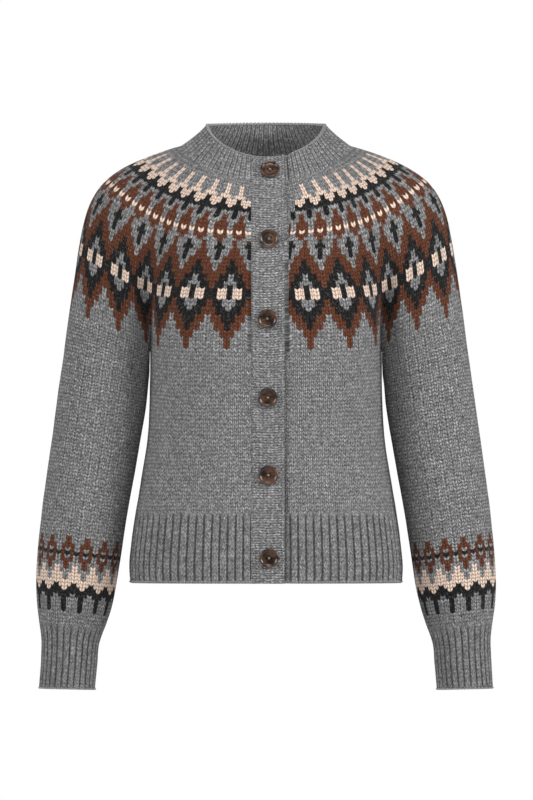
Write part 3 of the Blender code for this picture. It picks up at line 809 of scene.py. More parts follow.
@dataclass(frozen=True)
class WornForm:
    """The outer surface of the filled-out garment, worked out half by half from its sizes."""

    wall: float = 0.003
    layer_gap: float = 0.0004
    right_seam: float = 0.0180
    left_seam: float = 0.0200
    top_band_reach: float = 0.0222
    under_band_reach: float = 0.0165
    dip_start: float = 0.0345
    dip_end: float = 0.0245
    neck_edge: NeckRing = NeckRing(0.0712, 0.0680, 0.0550, -0.0262, 0.0128, -0.0280)
    neck_seam: NeckRing = NeckRing(0.1020, 0.0890, 0.0790, 0.0000, 0.0430, 0.0100)
    neck_dip_power: float = 1.3
    yoke_start_slope: Slopes = Slopes(62.0, 15.4, 50.0)
    yoke_start_pull: Slopes = Slopes(0.190, 0.395, 0.190)
    band_seam_slope: Slopes = Slopes(60.0, 36.0, 58.0)
    band_edge_slope: Slopes = Slopes(46.0, 52.0, 68.0)
    yoke_end_pull: float = 0.200
    yoke_end_pull_outside: float = 0.435
    fold_pull: float = 0.300
    fold_reach: float = 0.050
    fold_lean: float = 1.00
    fold_softness: float = 0.060
    fold_soft_reach: float = 0.090
    fold_soft_start: float = 0.30
    sleeve_lean: float = 9.0
    body_power: float = 2.5
    yoke_drop: float = 0.2470
    underarm_drop: float = 0.2410
    underarm_half: float = 0.0220
    rib_drop: float = 0.4404
    hem_drop: float = 0.5244
    sleeve_drop: float = 0.2220
    cuff_drop: float = 0.5748
    cuff_end_drop: float = 0.6508
    sleeve_clearance: float = 0.0008
    form_columns: Columns = Columns(48, 2, 64, 48)
    form_rows: int = 48
    line_columns: Columns = Columns(8, 2, 14, 8)
    line_band_rows: int = 8
    line_body_rows: int = 40

    def neck_ring(self, ring: NeckRing) -> Array:
        """Half of a neck ring.

        Args:
            ring: its sizes.

        Returns:
            Points from the middle of the front round to the middle of the back.
        """
        angles = np.linspace(0.0, math.pi, OUTLINE_STEPS)
        facing = np.cos(angles)
        depth = np.where(facing > 0.0, ring.front, ring.back)
        lowest = np.where(facing > 0.0, ring.front_drop, ring.back_drop)
        drop = ring.side_drop + (lowest - ring.side_drop) * np.abs(facing) ** self.neck_dip_power
        return np.stack((ring.half_width * np.sin(angles), -depth * facing, -drop), axis=1)

    def body_outline(self, front_drop: float, side_drop: float) -> Array:
        """Half of the body's outline at one height.

        Args:
            front_drop: how low it is in front and at the back.
            side_drop: how low it is at the side.

        Returns:
            Points from the middle of the front round to the middle of the back.
        """
        angles = np.linspace(0.0, math.pi, OUTLINE_STEPS)
        drops = front_drop + (side_drop - front_drop) * np.sin(angles) ** 4
        facing = np.cos(angles)
        front, back = read(BODY_RINGS, "front", drops), read(BODY_RINGS, "back", drops)
        depth = np.where(facing > 0.0, front, back)
        power = 2.0 / self.body_power
        out = read(BODY_RINGS, "half_width", drops) * np.abs(np.sin(angles)) ** power
        deep = -np.sign(facing) * depth * np.abs(facing) ** power
        return np.stack((out, deep, -drops), axis=1)

    def body_reach(self, deep: Array, drops: Array) -> Array:
        """How far out the body's outline is at a depth and a drop."""
        front, back = read(BODY_RINGS, "front", drops), read(BODY_RINGS, "back", drops)
        share = np.abs(deep) / np.where(deep < 0.0, front, back)
        flat = np.clip(1.0 - share**self.body_power, 0.0, 1.0) ** (1.0 / self.body_power)
        return read(BODY_RINGS, "half_width", drops) * flat

    def body_row(self, front_drop: float, side_drop: float, edge: float,
                 columns: Columns) -> tuple[Array, Array, Array, Array]:
        """One row of half the body.

        Args:
            front_drop: how low the row is in front and at the back.
            side_drop: how low it is at the side.
            edge: how far out its front edge is.
            columns: how finely each stretch is cut.

        Returns:
            Points of the front, of both halves of the underarm stretch, and of the back.
        """
        path = from_edge(self.body_outline(front_drop, side_drop), edge)
        top = from_edge(self.body_outline(self.yoke_drop, self.underarm_drop), edge)
        side, top_side = int(np.argmax(path[:, 0])), int(np.argmax(top[:, 0]))
        before, after = path[: side + 1], path[side:]
        top_before, top_after = top[: top_side + 1], top[top_side:]
        fold = np.interp(-self.underarm_half, top_before[:, 1], shares_of(top_before))
        back_fold = np.interp(self.underarm_half, top_after[:, 1], shares_of(top_after))
        front = spaced(before, np.linspace(0.0, fold, columns.front + 1))
        under_front = spaced(before, np.linspace(fold, 1.0, columns.underarm + 1))
        under_back = spaced(after, np.linspace(0.0, back_fold, columns.underarm + 1))
        back = spaced(after, np.linspace(back_fold, 1.0, columns.back + 1))
        return front, under_front, under_back, back

    def sleeve_row(self, drop: float, columns: Columns,
                   body_top: Optional[tuple] = None) -> tuple[Array, Array, Array]:
        """One ring of a sleeve, from the underarm seam round the front, outside and back.

        Args:
            drop: how low the ring's middle is.
            columns: how finely each stretch is cut.
            body_top: for the first ring, the top row of the body, whose underarm it shares.

        Returns:
            Points of the underarm's front half, of the outer stretch and of the back half.
        """
        at = np.array(drop)
        out, forward, half_width, half_depth, tilt = (
            float(read(SLEEVE_RINGS, item.name, at)) for item in fields(SleeveRing)[1:]
        )
        fold = math.asin(self.underarm_half / half_depth)
        lean = math.radians(tilt)
        clearance = self.sleeve_clearance if body_top is None else 0.0

        def ring(angles: Array) -> Array:
            """Points of the tilted ellipse, pressed clear of the body."""
            across = half_width * np.cos(angles)
            deep = -forward - half_depth * np.sin(angles)
            drops = drop + across * math.sin(lean)
            clear = self.body_reach(deep, np.minimum(drops, self.hem_drop)) + clearance
            reach = np.maximum(out - across * math.cos(lean), clear)
            return np.stack((reach, deep, -drops), axis=1)

        outer = spaced(
            ring(np.linspace(fold, 2.0 * math.pi - fold, OUTLINE_STEPS)),
            np.linspace(0.0, 1.0, columns.sleeve + 1),
        )
        under = ring(np.linspace(-fold, fold, 2 * columns.underarm + 1))
        under_back, under_front = under[: columns.underarm + 1], under[columns.underarm :]
        if body_top is not None:
            under_front, under_back = body_top[1][::-1], body_top[2][::-1]
            outer[0], outer[-1] = under_front[-1], under_back[0]
        return under_front, outer, under_back

    def downhill(self, points: Array, slopes: Slopes, edge: float) -> tuple[Array, Array]:
        """Directions that lead out from the neck and down.

        Args:
            points: points of a neck ring.
            slopes: degrees below the horizontal.
            edge: where the front edge is, at which the direction is straight ahead.

        Returns:
            The unit directions, and how squarely each faces the back.
        """
        scale = np.array((self.neck_seam.half_width, self.neck_seam.front))
        radial = points[:, :2] / scale
        radial /= np.linalg.norm(radial, axis=1)[:, None]
        angle = np.radians(slopes.read(radial[:, 1]))
        eased = np.clip((points[:, 0] - edge) / self.fold_reach, 0.0, 1.0)
        eased = np.where(radial[:, 1] < 0.0, eased, 1.0)
        level = np.stack((radial[:, 0] * eased, radial[:, 1]), axis=1)
        level /= np.linalg.norm(level, axis=1)[:, None]
        heading = np.column_stack((level * np.cos(angle)[:, None], -np.sin(angle)))
        return heading, radial[:, 1]

    def neck_points(self, ring: NeckRing, edge: float, shares: Array) -> Array:
        """Points of half a neck ring, at 0 to 1 along its front quarter and 1 to 2 at the back."""
        path = from_edge(self.neck_ring(ring), edge)
        side = int(np.argmax(path[:, 0]))
        front = spaced(path[: side + 1], shares[shares <= 1.0])
        back = spaced(path[side:], shares[shares > 1.0] - 1.0)
        return np.vstack((front, back))

    def yoke_border(self, edge: float, columns: Columns) -> tuple[Array, Array]:
        """The lower edge of half of the yoke.

        Args:
            edge: how far out its front edge is.
            columns: how finely it is cut.

        Returns:
            Its points, and their places: 0 to 1 in front, 1 to 2 on the sleeve, 2 to 3 behind.
        """
        row = self.body_row(self.yoke_drop, self.underarm_drop, edge, columns)
        outer = self.sleeve_row(self.sleeve_drop, columns, row)[1]
        places = (
            np.linspace(0.0, 1.0, columns.front + 1),
            np.linspace(1.0, 2.0, columns.sleeve + 1)[1:-1],
            np.linspace(2.0, 3.0, columns.back + 1),
        )
        return np.vstack((row[0], outer[1:-1], row[3])), np.concatenate(places)

    def softened(self, grid: Array, along: Array, edge: float) -> Array:
        """A yoke with its two folds eased away towards the neck.

        Args:
            grid: rows and columns of half of the yoke.
            along: how far along the lower edge each column is.
            edge: how far out its front edge is.

        Returns:
            The eased grid.
        """
        before, after = grid[:, :0:-1] * MIRROR, grid[:, -2::-1] * MIRROR
        before[..., 0] += 2.0 * edge
        wide = np.hstack((before, grid, after))
        end = along[-1]
        wide_along = np.concatenate((-along[:0:-1], along, 2.0 * end - along[-2::-1]))
        apart = (along[:, None] - wide_along[None, :]) ** 2
        columns = self.form_columns
        folds = (along[columns.front], along[columns.front + columns.sleeve])
        near = sum(np.exp(-(((along - fold) / self.fold_soft_reach) ** 2)) for fold in folds)
        result = grid.copy()
        for row, share in enumerate(np.linspace(0.0, 1.0, len(grid))[1:-1], start=1):
            weights = np.exp(-apart / (2.0 * (self.fold_softness * (1.0 - share)) ** 2))
            mean = weights @ wide[row] / weights.sum(axis=1)[:, None]
            strength = np.clip(near, 0.0, 1.0) * smooth(np.array(share / self.fold_soft_start))
            result[row] += (mean - grid[row]) * strength[:, None]
        return result

    def yoke_half(self, edge: float, columns: Columns, rows: int) -> tuple[Array, Array, Array]:
        """Half of the yoke.

        Args:
            edge: how far out its front edge is.
            columns: how finely it is cut round the garment.
            rows: how finely it is cut down the garment.

        Returns:
            Its grid, the neck shares that its columns start at, and how far round from the
            middle of the front each column is at the lower edge.
        """
        end, places = self.yoke_border(edge, self.form_columns)
        fold = self.form_columns.front
        back_fold = fold + self.form_columns.sleeve
        ridge = (fold + back_fold) // 2
        shares = np.concatenate((shares_of(end[: ridge + 1]), 1.0 + shares_of(end[ridge:])[1:]))
        start = self.neck_points(self.neck_seam, edge, shares)

        leave, facing = self.downhill(start, self.yoke_start_slope, edge)
        leave *= self.yoke_start_pull.read(facing)[:, None]
        inside, outside = end[fold, 0], end[ridge, 0]
        reach = np.clip((end[:, 0] - inside) / (outside - inside), 0.0, 1.0)
        lean = np.radians(self.sleeve_lean) * reach
        arrive = np.stack((np.sin(lean), np.zeros(len(end)), -np.cos(lean)), axis=1)
        pull = self.yoke_end_pull + (self.yoke_end_pull_outside - self.yoke_end_pull) * reach
        arrive *= pull[:, None]
        for crease, inward in ((end[fold], 1.0), (end[back_fold], -1.0)):
            near = np.exp(-((np.linalg.norm(end - crease, axis=1) / self.fold_reach) ** 2))
            turned = np.array((0.0, inward * self.fold_lean, -1.0))
            turned *= self.fold_pull / np.linalg.norm(turned)
            arrive = arrive * (1.0 - near[:, None]) + turned * near[:, None]

        at = np.linspace(0.0, 1.0, COLUMN_STEPS)[:, None]
        keys = np.linspace(0.0, 1.0, self.form_rows + 1)
        grid = np.stack(
            [spaced(hermite(*four, at), keys) for four in zip(start, leave, end, arrive)], axis=1
        )
        along = travelled(end)
        grid = self.softened(grid, along, edge)
        border, wanted = self.yoke_border(edge, columns)
        grid = between(between(grid, keys, np.linspace(0.0, 1.0, rows + 1)), places, wanted, 1)
        grid[-1] = border
        return grid, np.interp(wanted, places, shares), edge + np.interp(wanted, places, along)

    def neckband_half(self, edge: float, shares: Array, rows: int) -> Array:
        """Half of the neckband, from its open edge down to the yoke.

        Args:
            edge: how far out its front edge is.
            shares: where its columns are, as in neck_points().
            rows: how finely it is cut down the garment.

        Returns:
            Its rows and columns.
        """
        top = self.neck_points(self.neck_edge, edge, shares)
        seam = self.neck_points(self.neck_seam, edge, shares)
        width = np.linalg.norm(seam - top, axis=1)[:, None]
        leave = self.downhill(top, self.band_edge_slope, edge)[0] * width
        arrive = self.downhill(seam, self.band_seam_slope, edge)[0] * width
        at = np.linspace(0.0, 1.0, rows + 1)
        return np.stack([hermite(top, leave, seam, arrive, share) for share in at])

    def edge_line(self, across: float) -> Array:
        """The front's surface from the neck edge down to the hem.

        Args:
            across: how far out the line runs, to the wearer's left.

        Returns:
            Its points.
        """
        edge = max(abs(across), NEAR_MIDDLE)
        band = self.neckband_half(edge, np.array((0.0, 1.0)), self.line_band_rows)
        yoke = self.yoke_half(edge, self.line_columns, self.form_rows)[0]
        rows = [band[:, 0], yoke[1:, 0]]
        for drop in np.linspace(self.yoke_drop, self.hem_drop, self.line_body_rows + 1)[1:]:
            rows.append(from_edge(self.body_outline(drop, drop), edge)[:1])
        line = np.vstack(rows)
        line[:, 0] *= math.copysign(1.0, across)
        return line


FORM = WornForm()


def outward(grid: Array, ring: bool = False) -> Array:
    """Unit normals of a grid whose rows run down and columns to the wearer's left.

    Args:
        grid: the points.
        ring: True where the last column is the first one again.

    Returns:
        One normal for each point.
    """
    if ring:
        wide = np.concatenate((grid[:, -2:-1], grid, grid[:, 1:2]), axis=1)
        left = (wide[:, 2:] - wide[:, :-2]) / 2.0
    else:
        left = np.gradient(grid, axis=1)
    down = np.gradient(grid, axis=0)
    normals = np.cross(down, left)
    return normals / np.maximum(np.linalg.norm(normals, axis=2, keepdims=True), SHORTEST)


def lip_line(grid: Array, row: int, ring: bool, past: float) -> Array:
    """The line along a rounded lip, in the middle of the wall.

    Args:
        grid: the piece's outer grid.
        row: the border's row, 0 or -1.
        ring: True where the last column is the first one again.
        past: how far past the lip the line is moved.

    Returns:
        Its points.
    """
    normals = outward(grid, ring)[row]
    step = grid[row] - grid[1 if row == 0 else -2]
    moved = step / np.linalg.norm(step, axis=1)[:, None] * past
    line = grid[row] - normals * FORM.wall / 2.0 + moved
    return line[:-1] if ring else line


# --- Creases ----------------------------------------------


@dataclass(frozen=True)
class Crease:
    """A soft fold, seen from the front (-1) or the back (1).

    Its ends are (out to the wearer's left, drop). A positive depth is a trough. It fades in and
    out over two shares of its length, widens as the spread says, and eases off where the cloth
    turns away.
    """

    start: Pair
    end: Pair
    width: float
    depth: float
    bow: float = 0.0
    facing: int = -1
    both_sides: bool = False
    fades: Pair = (0.35, 0.45)
    spread: Pair = (0.7, 1.3)
    turn: Pair = (-0.15, 0.25)

    def lift(self, points: Array, normals: Array) -> Array:
        """How far the crease lifts each point of a grid along its normal.

        Args:
            points: the grid.
            normals: its normals.

        Returns:
            The lift at each point.
        """
        result = np.zeros(points.shape[:2])
        for side in ((1.0, -1.0) if self.both_sides else (1.0,)):
            start = np.array((self.start[0] * side, -self.start[1]))
            end = np.array((self.end[0] * side, -self.end[1]))
            line = end - start
            span = float(np.linalg.norm(line))
            flat = points[..., (0, 2)] - start
            along = flat @ line / span**2
            normal = np.array((-line[1], line[0])) / span * side
            off = flat @ normal - self.bow * 4.0 * along * (1.0 - along)
            taper = smooth(along / self.fades[0]) * smooth((1.0 - along) / self.fades[1])
            wide = self.width * np.interp(along, (0.0, 1.0), self.spread)
            shown = smooth((normals[..., 1] * self.facing - self.turn[0]) / np.ptp(self.turn))
            result -= self.depth * np.exp(-((off / wide) ** 2)) * taper * shown
        return result


CREASES = (
    Crease((0.157, 0.100), (0.139, 0.232), 0.0065, 0.0034, 0.0, both_sides=True),
    Crease((0.156, 0.105), (0.138, 0.230), 0.0075, 0.0026, 0.0, 1, True),
    Crease((0.134, 0.262), (0.088, 0.318), 0.0075, 0.0022, 0.006, both_sides=True),
    Crease((0.137, 0.285), (0.104, 0.352), 0.0070, 0.0016, -0.005, both_sides=True),
    Crease((0.118, 0.352), (0.062, 0.392), 0.0090, 0.0011, 0.006),
    Crease((-0.122, 0.372), (-0.070, 0.425), 0.0100, 0.0011, -0.006),
    Crease((0.098, 0.395), (0.078, 0.432), 0.0070, 0.0010, 0.003),
    Crease((-0.060, 0.404), (-0.120, 0.416), 0.0080, 0.0010, 0.004),
    Crease((0.168, 0.300), (0.214, 0.322), 0.0085, 0.0018, 0.005, both_sides=True),
    Crease((0.172, 0.338), (0.226, 0.352), 0.0095, 0.0016, -0.004, both_sides=True),
    Crease((0.182, 0.392), (0.240, 0.380), 0.0090, 0.0014, 0.004),
    Crease((-0.184, 0.372), (-0.244, 0.394), 0.0090, 0.0014, -0.004),
    Crease((0.196, 0.440), (0.246, 0.452), 0.0080, 0.0012, 0.003, both_sides=True),
    Crease((0.206, 0.508), (0.262, 0.520), 0.0075, 0.0010, -0.004, both_sides=True),
    Crease((0.132, 0.258), (0.080, 0.322), 0.0085, 0.0024, -0.007, 1, True),
    Crease((0.110, 0.330), (0.040, 0.372), 0.0110, 0.0016, 0.008, 1),
    Crease((-0.116, 0.344), (-0.036, 0.366), 0.0100, 0.0015, -0.007, 1),
    Crease((0.060, 0.400), (-0.040, 0.412), 0.0110, 0.0013, 0.006, 1),
    Crease((0.170, 0.312), (0.222, 0.330), 0.0090, 0.0018, 0.005, 1, True),
    Crease((0.186, 0.376), (0.244, 0.388), 0.0095, 0.0016, -0.004, 1, True),
    Crease((0.204, 0.470), (0.256, 0.480), 0.0080, 0.0012, 0.004, 1, True),
)
CREASE_MARGINS = (0.08, 0.06)


def creased(grid: Array, ring: bool = False) -> Array:
    """A grid with the creases pressed into it, its first and last rows left as they are."""
    normals = outward(grid, ring)
    lift = sum(crease.lift(grid, normals) for crease in CREASES)
    share = np.linspace(0.0, 1.0, len(grid))
    held = smooth(share / CREASE_MARGINS[0]) * smooth((1.0 - share) / CREASE_MARGINS[1])
    return grid + normals * (lift * held[:, None])[..., None]


# --- Knitted walls ----------------------------------------


@dataclass
class KnitWall:
    """A knitted piece as a wall: an outer grid, the same grid moved in, and rounded lips.

    Ribs are pressed in where "eases" is given: the shares of the rows over which they come in at
    the first row and go out at the last.
    """

    node: str
    outer: Array
    stitches: Array
    ring: bool = False
    lip_start: bool = False
    lip_end: bool = False
    eases: Optional[Pair] = None
    lips: tuple[float, ...] = (135.0, 90.0, 45.0)
    sharp_angle: float = 55.0

    @property
    def name(self) -> str:
        """The piece's name."""
        return f"knitted_{self.node}"

    def ribbing(self) -> Array:
        """How strongly ribs are pressed in.

        Returns:
            A share for each point of the grid.
        """
        shape = self.outer.shape[:2]
        if self.eases is None:
            return np.zeros(shape)
        share = np.linspace(0.0, 1.0, shape[0])
        eased = smooth(share / self.eases[0]) * smooth((1.0 - share) / self.eases[1])
        return np.broadcast_to(eased[:, None], shape)

    def sections(self) -> dict[str, Array]:
        """Closed sections through the wall, one for each column.

        Returns:
            For each name, an array of section points by columns: "place", "stitch", "outward",
            "inside", "rib" and "ribbing".
        """
        normals = outward(self.outer, self.ring)
        outer = self.outer.copy()
        half = FORM.wall / 2.0
        directions = {}
        for index, inner in ((0, 1), (-1, -2)):
            step = outer[index] - outer[inner]
            directions[index] = step / np.linalg.norm(step, axis=1)[:, None]
        if self.lip_start:
            outer[0] -= directions[0] * half
        if self.lip_end:
            outer[-1] -= directions[-1] * half
        inner = outer - normals * FORM.wall
        ribbing = self.ribbing()
        rows: dict[str, list[Array]] = {
            key: [] for key in ("place", "stitch", "outward", "inside", "rib", "ribbing")
        }

        def add_row(index: int, place: Array, inside: float, past: float = 0.0) -> None:
            """Adds one row of the sections, "past" rows of stitches beyond the border."""
            stitch = self.stitches[index]
            rows["place"].append(place)
            rows["stitch"].append(stitch + np.array((0.0, past)))
            rows["outward"].append(normals[index])
            rows["inside"].append(np.full(len(place), inside))
            rows["rib"].append(stitch[:, 0])
            rows["ribbing"].append(ribbing[index])

        def add_lip(index: int, bulge: bool, angles: Sequence[float]) -> None:
            """Adds a lip's rows at angles off the outer side, flat where it doesn't bulge."""
            middle = (outer[index] + inner[index]) / 2.0
            for angle in angles:
                turn = math.radians(angle)
                reach = half * math.sin(turn) if bulge else 0.0
                place = middle + normals[index] * half * math.cos(turn) + directions[index] * reach
                past = reach / ROW_HEIGHT * (-1.0 if index == 0 else 1.0)
                add_row(index, place, 0.0 if angle <= 90.0 else 1.0, past)

        add_lip(0, self.lip_start, self.lips[1:])
        for index in range(len(outer)):
            add_row(index, outer[index], 0.0)
        add_lip(-1, self.lip_end, self.lips[::-1])
        for index in range(len(outer) - 1, -1, -1):
            add_row(index, inner[index], 1.0)
        add_lip(0, self.lip_start, self.lips[:1])
        return {key: np.stack(values) for key, values in rows.items()}

    def mesh(self) -> bpy.types.Mesh:
        """The wall as a closed mesh.

        Returns:
            The mesh, with the UV map "stitches" and the attributes that the relief reads.
        """
        found = self.sections()
        count, width = found["place"].shape[:2]
        used = width - 1 if self.ring else width
        last = used if self.ring else used - 1
        index = np.arange(count * used).reshape(count, used)
        down, left = np.roll(index, -1, axis=0), np.roll(index, -1, axis=1)
        quads = np.stack((index, down, np.roll(down, -1, axis=1), left), axis=-1)
        seen = np.arange(count * width).reshape(count, width)
        seen_down = np.roll(seen, -1, axis=0)
        looked_up = (seen[:, :last], seen_down[:, :last], seen_down[:, 1 : last + 1],
                     seen[:, 1 : last + 1])
        faces = quads[:, :last].reshape(-1, 4).tolist()
        corners = np.stack(looked_up, axis=-1).reshape(-1, 4).tolist()
        if not self.ring:
            for column, flip in ((0, True), (used - 1, False)):
                ladder, ladder_seen = self.end_cap(index[:, column], seen[:, column], flip)
                faces += ladder
                corners += ladder_seen
        mesh = bpy.data.meshes.new(self.name)
        mesh.from_pydata(found["place"][:, :used].reshape(-1, 3).tolist(), [], faces)
        flat = found["stitch"].reshape(-1, 2)
        order = np.concatenate([np.array(face) for face in corners])
        layer = mesh.uv_layers.new(name="stitches")
        layer.data.foreach_set("uv", flat[order].astype(np.float32).ravel())
        for key, kind, slot in (("inside", "FLOAT", "value"), ("rib", "FLOAT", "value"),
                                ("ribbing", "FLOAT", "value"), ("outward", "FLOAT_VECTOR", "vector")):
            attribute = mesh.attributes.new(key, kind, "POINT")
            attribute.data.foreach_set(slot, found[key][:, :used].astype(np.float32).ravel())
        mesh.validate()
        mesh.shade_smooth()
        mesh.set_sharp_from_angle(angle=math.radians(self.sharp_angle))
        return mesh

    def end_cap(self, loop: Array, seen: Array, flip: bool) -> tuple[list, list]:
        """The faces that close the wall at its first or last column.

        Args:
            loop: the section's vertices.
            seen: the same points in the full grid, for the UV map.
            flip: True at the first column.

        Returns:
            The faces as vertices, and as points of the full grid.
        """
        count = len(loop)
        faces, corners = [], []
        for step in range(count // 2):
            ring = [step, step + 1, (count - step - 1) % count, (count - step) % count]
            ring = list(dict.fromkeys(ring))
            if not flip:
                ring = ring[::-1]
            faces.append([int(loop[k]) for k in ring])
            corners.append([int(seen[k]) for k in ring])
        return faces, corners


def linked(name: str, mesh: bpy.types.Mesh) -> bpy.types.Object:
    """A new object for a mesh, in the scene."""
    obj = bpy.data.objects.new(name, mesh)
    bpy.context.scene.collection.objects.link(obj)
    return obj


@dataclass
class ShapeTree:
    """Geometry nodes that are built once and run on one piece after another."""

    title: ClassVar[str]
    numbers: ClassVar[tuple[str, ...]]
    materials: ClassVar[tuple[str, ...]]
    tree: Optional[bpy.types.NodeTree] = None

    def shape(self, bench: Bench, source: dict[str, Wire]) -> Wire:
        """The nodes between the tree's input and its output."""
        raise NotImplementedError

    def build(self) -> bpy.types.NodeTree:
        """Builds the tree.

        Returns:
            The tree, whose sizes and materials are named inputs.
        """
        tree = bpy.data.node_groups.new(self.title, "GeometryNodeTree")
        for kind, names in (("Geometry", ("Geometry",)), ("Float", self.numbers),
                            ("Material", self.materials)):
            for name in names:
                tree.interface.new_socket(name, in_out="INPUT", socket_type=f"NodeSocket{kind}")
        tree.interface.new_socket("Geometry", in_out="OUTPUT", socket_type="NodeSocketGeometry")
        bench = Bench(tree)
        given = bench.node("NodeGroupInput")
        source = {socket.name: Wire(bench, socket) for socket in given.outputs if socket.name}
        bench.node("NodeGroupOutput", {"is_active_output": True}, {0: self.shape(bench, source)})
        return tree

    def run(self, piece: bpy.types.Object, values: dict) -> None:
        """Runs the tree on a piece and keeps the result as its plain mesh.

        Args:
            piece: the piece.
            values: what each named input is set to.
        """
        self.tree = self.tree or self.build()
        modifier = piece.modifiers.new("Shape", "NODES")
        modifier.node_group = self.tree
        for item in self.tree.interface.items_tree:
            if item.item_type == "SOCKET" and item.in_out == "INPUT" and item.name in values:
                modifier[item.identifier] = values[item.name]
        piece.update_tag()
        bpy.context.view_layer.update()
        depsgraph = bpy.context.evaluated_depsgraph_get()
        mesh = bpy.data.meshes.new_from_object(
            piece.evaluated_get(depsgraph), preserve_all_data_layers=True, depsgraph=depsgraph
        )
        mesh.name = piece.name
        piece.modifiers.clear()
        piece.data = mesh


@dataclass
class KnitRelief(ShapeTree):
    """Presses ribs and a slight unevenness into a knitted wall."""

    title: ClassVar[str] = "knit_relief"
    numbers: ClassVar[tuple[str, ...]] = ("Rib Depth", "Groove Width", "Unevenness",
                                          "Unevenness Scale")
    materials: ClassVar[tuple[str, ...]] = ("Outside", "Inside")
    unevenness: float = 0.0006
    unevenness_scale: float = 22.0

    def shape(self, bench: Bench, source: dict[str, Wire]) -> Wire:
        """Moves each point along its wall's outward direction.

        Args:
            bench: where the nodes go.
            source: the tree's inputs by name.

        Returns:
            The wall, with one material outside and the other inside.
        """
        def stored(name: str, kind: str = "FLOAT") -> Wire:
            """Reads a stored attribute."""
            return bench.wire("GeometryNodeInputNamedAttribute", {"data_type": kind}, {0: name})

        inside = stored("inside")
        away = abs((stored("rib") + inside * 0.5).part() - 0.5)
        groove = (0.5 - away).bell(source["Groove Width"])
        pressed = groove * source["Rib Depth"] * stored("ribbing") * (inside * 2.0 - 1.0)
        place = bench.wire("GeometryNodeInputPosition")
        wave = bench.wire("ShaderNodeTexNoise", {"noise_dimensions": "3D"},
                          {"Vector": place, "Scale": source["Unevenness Scale"], "Detail": 1.0})
        lift = pressed + (wave - 0.5) * source["Unevenness"] * 2.0
        offset = bench.wire("ShaderNodeVectorMath", {"operation": "SCALE"},
                            {0: stored("outward", "FLOAT_VECTOR"), "Scale": lift})
        moved = bench.wire("GeometryNodeSetPosition", None,
                           {"Geometry": source["Geometry"], "Offset": offset})
        real = bench.wire("GeometryNodeRealizeInstances", None, {0: moved})
        dressed = bench.wire("GeometryNodeSetMaterial", None,
                             {"Geometry": real, "Material": source["Outside"]})
        return bench.wire("GeometryNodeSetMaterial", None,
                          {"Geometry": dressed, "Selection": inside > 0.75,
                           "Material": source["Inside"]})

    def press(self, piece: bpy.types.Object, materials: Sequence[bpy.types.Material],
              rib_depth: float, groove: float) -> None:
        """Presses the relief into a piece, and dresses it outside and inside."""
        self.run(piece, {"Rib Depth": rib_depth, "Groove Width": groove,
                         "Unevenness": self.unevenness, "Unevenness Scale": self.unevenness_scale,
                         "Outside": materials[0], "Inside": materials[1]})


@dataclass
class CastOffEdge(ShapeTree):
    """Lays a chain of slanting stitches along an edge."""

    title: ClassVar[str] = "cast_off_edge"
    numbers: ClassVar[tuple[str, ...]] = ("Pitch", "Thickness")
    materials: ClassVar[tuple[str, ...]] = ("Yarn",)
    pitch: float = 0.0044
    thickness: float = 0.0013
    leg_length: float = 0.62
    leg_offset: float = 0.62
    leg_slant: float = 0.42

    def shape(self, bench: Bench, source: dict[str, Wire]) -> Wire:
        """Sets a link of two slanting legs at every pitch of the edge.

        Args:
            bench: where the nodes go.
            source: the tree's inputs by name.

        Returns:
            The chain in its yarn.
        """
        pitch, thickness = source["Pitch"], source["Thickness"]
        path = bench.wire("GeometryNodeMeshToCurve", None, {0: source["Geometry"]})
        points = bench.node("GeometryNodeCurveToPoints", {"mode": "LENGTH"},
                            {"Curve": path, "Length": pitch})
        bead = bench.wire("GeometryNodeMeshUVSphere", None, {"Segments": 6, "Rings": 4, "Radius": 1.0})
        size = bench.vector(thickness, thickness, pitch * self.leg_length)
        leg = bench.wire("GeometryNodeTransform", None, {"Geometry": bead, "Scale": size})
        join = bench.node("GeometryNodeJoinGeometry")
        for side in (-1.0, 1.0):
            shift = bench.vector(thickness * (self.leg_offset * side), 0.0, 0.0)
            turned = bench.wire("GeometryNodeTransform", None, {
                "Geometry": leg, "Translation": shift,
                "Rotation": (0.0, -self.leg_slant * side, 0.0)})
            bench.feed(join, {0: turned})
        link = bench.wire("GeometryNodeSetShadeSmooth", None, {0: Wire(bench, join.outputs[0])})
        placed = bench.wire("GeometryNodeInstanceOnPoints", None, {
            "Points": Wire(bench, points.outputs["Points"]), "Instance": link,
            "Rotation": Wire(bench, points.outputs["Rotation"])})
        real = bench.wire("GeometryNodeRealizeInstances", None, {0: placed})
        return bench.wire("GeometryNodeSetMaterial", None,
                          {"Geometry": real, "Material": source["Yarn"]})

    def lay(self, name: str, path: Array, closed: bool, yarn: bpy.types.Material) -> bpy.types.Object:
        """Lays the chain along a path.

        Args:
            name: the piece's name.
            path: the points it follows.
            closed: True where the path comes back to its start.
            yarn: its material.

        Returns:
            The piece.
        """
        count = len(path)
        edges = [(k, k + 1) for k in range(count - 1)] + ([(count - 1, 0)] if closed else [])
        mesh = bpy.data.meshes.new(name)
        mesh.from_pydata(path.tolist(), edges, [])
        piece = linked(name, mesh)
        self.run(piece, {"Pitch": self.pitch, "Thickness": self.thickness, "Yarn": yarn})
        return piece


# --- The garment's sub-assemblies -------------------------


class Slot(Enum):
    """The record's material slots."""

    YOKE = "patterned_wool"
    PLAIN = "heather_wool"
    RIB = "ribbed_wool"
    BUTTON = "button_horn"


